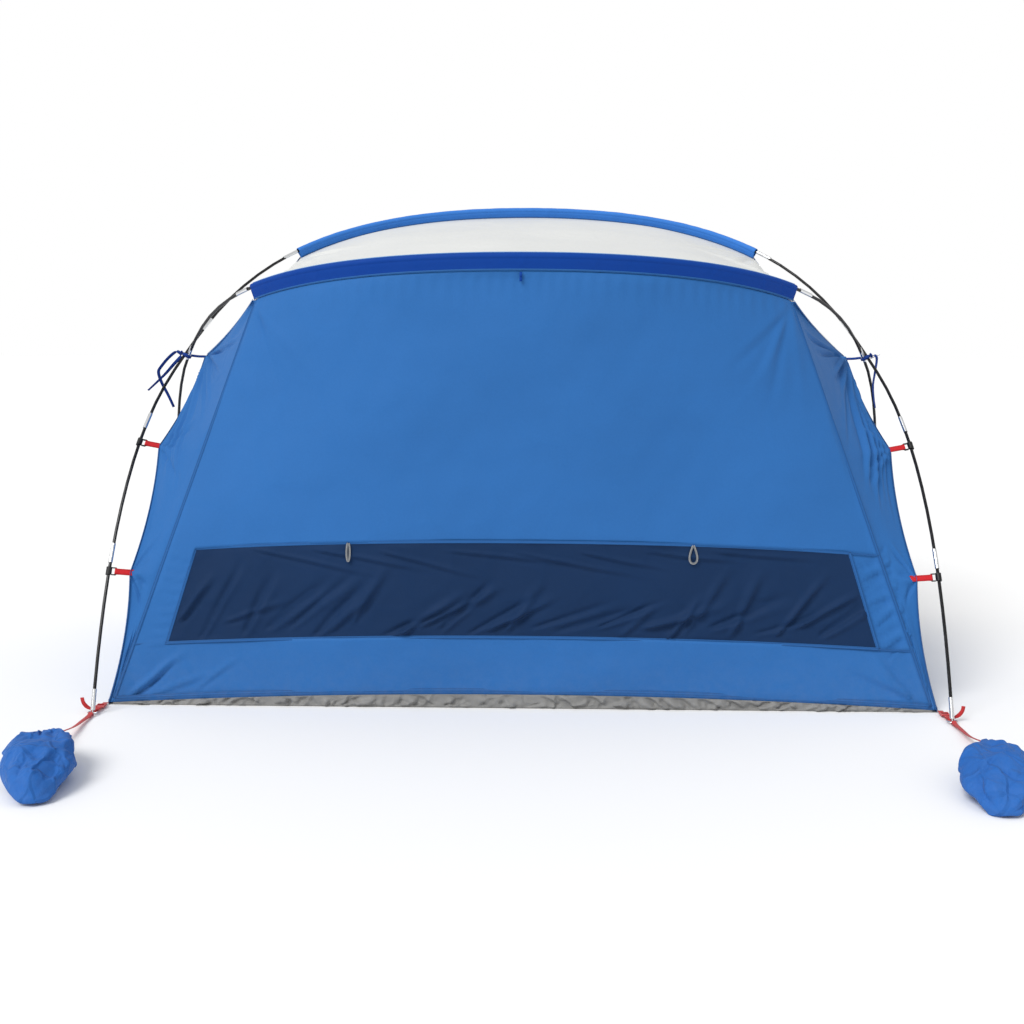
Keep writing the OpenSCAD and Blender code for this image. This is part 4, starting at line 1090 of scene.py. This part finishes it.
for side, end in corners:
    label, node = endNames[end].title() + sideNames[side].title(), f"{endNames[end]}_{sideNames[side]}"
    corner = f"corner_{node}"
    r, h = cornerLook["ringRadius"], cornerLook["ringHeight"]
    top = [(0.0012 * math.sin(y * 90), y, mix(h + 0.0009, 0.0066, smoothStep((y - 0.03) / 0.09))) for y in
           np.linspace(cornerLook["end"], 0.024, 26)]
    eye = ringEye(r, 1)
    under = [(0, y, h - 0.0012) for y in np.linspace(0.024, 0.045, 8)]
    webbing = strap(f"cornerWebbing{label}", atFoot(top + eye + under, side, end), (1, 0, 0),
                    cornerLook["width"] * 0.92, cornerLook["thick"] * 0.8, None)
    tailStart = vec(cornerLook["width"] / 2 - 0.001, cornerLook["start"] + 0.010, h)
    tailPath = spline([tailStart + vec(*p) / 1000 for p in cornerLook["tail"]], 8)
    twist = smoothStep(np.linspace(-0.2, 1.1, len(tailPath)))[:, None]
    tailSide = mix(vec(0, 1, 0.1), unit(np.cross(np.gradient(tailPath, axis=0), vec(0, 1, 0))), twist)
    tail = strap("tail", atFoot(tailPath, side, end), tailSide * vec(side, -end, 1), 0.012, 0.0015, None)
    webbing = joinInto(webbing, tail)
    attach(webbing, corner)
    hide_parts(f"webbing_{node}")
    finish(webbing, "webbing_red")

    begin, finishPoint = vec(0, -cornerLook["start"], h), strapLook["neck"]
    t = np.linspace(0, 1, 60)[:, None]
    run = mix(begin, finishPoint, t) + vec(0, 0, -0.014) * 4 * t * (1 - t)
    run[:, 0] += 0.0022 * np.sin(t[:, 0] * 11) * np.sin(t[:, 0] * np.pi)
    eye = ringEye(-r, -1)
    path = np.vstack([[(0, -0.044 + 0.001 * k, h - 0.0012 - 0.0014) for k in range(0, 20, 4)], eye[::-1],
                      run[2:]])
    roll = np.linspace(0, 1, len(path))[:, None]
    lean = unit(vec(1, 0, 0) + 0.25 * np.sin(roll * 7) * vec(0, 0, 1) * np.sin(roll * np.pi))
    bagStrap = strap(f"sandbagStrap{label}", atFoot(path, side, end), lean * vec(side, -end, 1),
                     strapLook["width"], strapLook["thick"], f"strap_{node}")
    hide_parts(f"bag_strap_{node}")
    finish(bagStrap, "strap_red")
print("stage: webbing")

# ties at the crossings

tieLook = {"radius": 0.0162, "turns": ((-14, 0.0), (12, 0.0008), (0, 0.0016))}
for side in (-1, 1):
    label = sideNames[side].title()
    way = unit(unit(frontLean) + unit(rearLean))
    outward = squareTo(crossNormal, way)
    across = np.cross(way, outward)
    parts = []
    for tilt, lift in tieLook["turns"]:
        axis = unit(way + math.tan(math.radians(tilt)) * across)
        a1 = squareTo(outward, axis)
        a2 = np.cross(axis, a1)
        turn = np.linspace(0, 2 * np.pi, 49)[:-1]
        around = np.cos(turn)[:, None] * a1 + 0.86 * np.sin(turn)[:, None] * a2
        ring = crossPoint + (tieLook["radius"] + lift) * around
        closedRing = np.vstack([ring, ring[:1]])
        parts.append(strap("turn", mirrored(closedRing, side), mirrored(axis, side), 0.008, 0.0011, None))
    t = np.linspace(0, 2 * np.pi, 60)[:-1]
    knot = np.stack([np.sin(t) + 2 * np.sin(2 * t), np.cos(t) - 2 * np.cos(2 * t), -np.sin(3 * t)],
                    -1) * 0.0030
    knotCentre = crossPoint + outward * 0.0205 + vec(0, -0.004, 0.001)
    knot = knotCentre + knot[:, :1] * across * 0.8 + knot[:, 1:2] * way * 0.8 + knot[:, 2:] * outward * 0.6
    parts.append(roundCord("knot", mirrored(np.vstack([knot, knot[:1]]), side), 0.0026, None, 8))
    bandEdge = crossPoint - vec(tieLook["radius"], 0, 0)
    ribbon = [bandEdge, mix(bandEdge, sidePoint, 0.5) - vec(0, 0, 0.0012),
              sidePoint - vec(0.004, 0, 0.001), sidePoint - vec(0.022, -0.004, 0.012)]
    parts.append(strap("ribbon", mirrored(spline(ribbon, 10), side), (0, 0.3, 1), 0.009, 0.0012, None))
    band = joinInto(*parts)
    band.name = f"crossingTie{label}"
    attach(band, "tent")
    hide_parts(f"tie_{sideNames[side]}")
    finish(band, "tie_navy")
print("stage: ties")

# sandbags

bagLook = {"length": 0.40, "width": 0.168, "height": 0.118, "turn": 16, "rings": 120, "sides": 96}
bagStations = np.array([  # share of the length, then width, height and lift there
    [0, 0.10, 0.14, 1], [0.05, 0.2, 0.24, 0.96], [0.14, 0.56, 0.6, 0.9], [0.28, 0.86, 0.88, 0.96],
    [0.45, 1, 1, 1], [0.62, 0.98, 0.96, 0.96], [0.78, 0.88, 0.84, 0.86], [0.9, 0.66, 0.6, 0.64],
    [0.97, 0.4, 0.34, 0.42], [1, 0.14, 0.12, 0.3]])


def sandbagMesh(name, body, side, end, seed):
    rng = np.random.default_rng(seed)
    share = np.linspace(0, 1, bagLook["rings"])
    wide, tall, lift = (np.interp(share, bagStations[:, 0], bagStations[:, k]) for k in (1, 2, 3))
    for values in (wide, tall, lift):
        values[1:-1] = (values[:-2] + values[1:-1] + values[2:]) / 3
    a = np.linspace(0, 2 * np.pi, bagLook["sides"], endpoint=False)
    angle, along = np.meshgrid(a, share)
    half = bagLook["height"] / 2
    neck = (1 - np.clip(along / 0.28, 0, 1)) ** 2
    mid = mix(half * lift[:, None], strapLook["neck"][2], neck)
    x = wide[:, None] * bagLook["width"] / 2 * np.cos(angle)
    z = mid + tall[:, None] * half * np.sin(angle)
    grid = np.stack([x, -along * bagLook["length"], z], -1)
    closed = np.concatenate([grid, grid[:, :1]], 1)
    normals = -gridNormals(closed)[:, :-1]
    if (normals[60, 24] * vec(0, 0, 1)).sum() < 0:
        normals = -normals
    u, v = angle * 0.085, along * bagLook["length"]
    folds = []
    for k in range(26):  # gathers that run back from the tied neck
        at = rng.uniform(0, 2 * np.pi)
        folds.append((at * 0.085, 0.012, at * 0.085 + rng.uniform(-0.04, 0.04), rng.uniform(0.09, 0.2), 0.006,
                      0.0105 * rng.uniform(0.4, 1) * rng.choice([-1, 1])))
    for k in range(34):  # short, deep creases where the sand has shifted
        at, far = rng.uniform(0, 0.53), rng.uniform(0.08, 0.38)
        folds.append((at, far, at + rng.uniform(-0.12, 0.12), far + rng.uniform(-0.08, 0.08),
                      rng.uniform(0.010, 0.020), 0.0125 * rng.uniform(0.3, 1) * rng.choice([-1, -1, 1])))
    wrap = sum(foldField(u + k * 2 * np.pi * 0.085, v, folds, True) for k in (-1, 0, 1))
    ends = smoothStep(along / 0.08) * smoothStep((1 - along) / 0.06)
    lumps = 0.0115 * (np.sin(3 * angle + 5 * along + rng.uniform(0, 6))
                      * np.sin(9 * along + rng.uniform(0, 6)))
    facets = 0 * angle
    for k in range(7):  # flat planes that meet in sharp creases, as stiff coated cloth breaks
        around, down, phase = rng.integers(1, 6), rng.uniform(-16, 16), rng.uniform(0, 6.28)
        facets += np.arcsin(np.sin(around * angle + down * along + phase)) / 7
    grid = grid + ((wrap + lumps * 0.6 + 0.0125 * facets) * ends)[..., None] * normals
    rest = 0.0008 + 0.0012 * np.abs(np.sin(17 * angle + 23 * along)) * (along > 0.2)
    grid[..., 2] = np.maximum(grid[..., 2], rest)
    c, s = math.cos(math.radians(-bagLook["turn"])), math.sin(math.radians(-bagLook["turn"]))
    shift = strapLook["neck"] + vec(0, -0.008, 0)
    x, y = grid[..., 0] * c - grid[..., 1] * s + shift[0], grid[..., 0] * s + grid[..., 1] * c + shift[1]
    world = atFoot(np.stack([x, y, grid[..., 2]], -1), side, end)
    if side * end > 0:
        world = world[:, ::-1]
    uv = np.stack([u, v], -1).reshape(-1, 2)
    return ringSweep(name, world, body, uv)


def settleBag(bag):  # a short cloth run lets the coated cloth buckle over its sand
    cloth = bag.modifiers.new("bagCloth", "CLOTH")
    settings = cloth.settings
    settings.quality, settings.mass = 6, 0.25
    settings.tension_stiffness = settings.compression_stiffness = 30
    settings.shear_stiffness, settings.bending_stiffness = 12, 0.4
    settings.use_pressure, settings.uniform_pressure_force = True, 0.6
    settings.shrink_min = -0.10
    settings.effector_weights.gravity = 0
    rest = np.array([v.co for v in bag.data.vertices])
    scene = bpy.context.scene
    for number in range(1, 15):
        scene.frame_set(number)
    moved = bag.evaluated_get(bpy.context.evaluated_depsgraph_get()).data
    points = np.array([v.co for v in moved.vertices])
    bag.modifiers.remove(cloth)
    scene.frame_set(1)
    step = points - rest
    far = np.linalg.norm(step, axis=1, keepdims=True)
    points = rest + step * np.minimum(1, 0.012 / np.maximum(far, 1e-9))
    points[:, 2] = np.maximum(points[:, 2], 0.0008)
    bag.data.vertices.foreach_set("co", points.astype(np.float32).ravel())
    bag.data.update()


for index, (side, end) in enumerate(corners):
    label, node = endNames[end].title() + sideNames[side].title(), f"{endNames[end]}_{sideNames[side]}"
    bag = sandbagMesh(f"sandbag{label}", f"bag_{node}", side, end, 171 + index)
    settleBag(bag)
    finer = bag.modifiers.new("smoothCloth", "SUBSURF")
    finer.levels = finer.render_levels = 1
    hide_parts(f"sandbag_{node}")
    finish(bag, "bag")
print("stage: sandbags")

# finishes on the hard parts of the frame

hardSlots = {"pole": "pole_black", "ferrules": "ferrule_steel", "cord": "elastic_cord", "clip": "clip_black",
             "adjuster": "adjuster_red", "ring": "ring_steel"}
for node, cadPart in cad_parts.items():
    if cadPart.hide_render:
        continue
    finish(cadPart, next(key for word, key in hardSlots.items() if word in node.split("_")))
print("stage: hard parts")

# floor, sky and lights

studio = {"floorColour": (0.90, 0.90, 0.90), "skyLight": 0.70, "sunLight": 2.15,
          "sunSpread": math.radians(30),
          "sunTurn": (math.radians(46), 0, math.radians(-38)), "floorReach": 60}
reach = studio["floorReach"]
floorCorners = [(-reach, -reach, 0), (reach, -reach, 0), (reach, reach, 0), (-reach, reach, 0)]
ground = addMesh("studioFloor", floorCorners, [(0, 1, 2, 3)], None)
paper, tree, shader = newFinish("studioPaper", Roughness=0.9, Specular_IOR_Level=0.1)
speckle = placeNode(tree, "ShaderNodeTexNoise", Scale=3.0, Detail=2.0)
tone = placeBlend(tree, speckle.outputs["Fac"], (*studio["floorColour"], 1), (0.93, 0.93, 0.93, 1))
tree.links.new(tone, shader.inputs["Base Color"])
ground.data.materials.append(paper)

world = bpy.data.worlds.new("studioSky")
bpy.context.scene.world = world
world.use_nodes = True
skyTree = world.node_tree
light = skyTree.nodes["Background"]
light.inputs["Color"].default_value = (1, 1, 1, 1)
light.inputs["Strength"].default_value = studio["skyLight"]
seen = placeNode(skyTree, "ShaderNodeBackground", Color=(1, 1, 1, 1), Strength=1.0)
rays = placeNode(skyTree, "ShaderNodeLightPath")
both = placeNode(skyTree, "ShaderNodeMixShader")
skyTree.links.new(rays.outputs["Is Camera Ray"], both.inputs[0])
skyTree.links.new(light.outputs[0], both.inputs[1])
skyTree.links.new(seen.outputs[0], both.inputs[2])
skyTree.links.new(both.outputs[0], skyTree.nodes["World Output"].inputs["Surface"])
sunData = bpy.data.lights.new("softSun", "SUN")
sunData.energy, sunData.angle = studio["sunLight"], studio["sunSpread"]
sun = bpy.data.objects.new("softSun", sunData)
bpy.context.scene.collection.objects.link(sun)
sun.rotation_euler = studio["sunTurn"]
print("stage: studio")
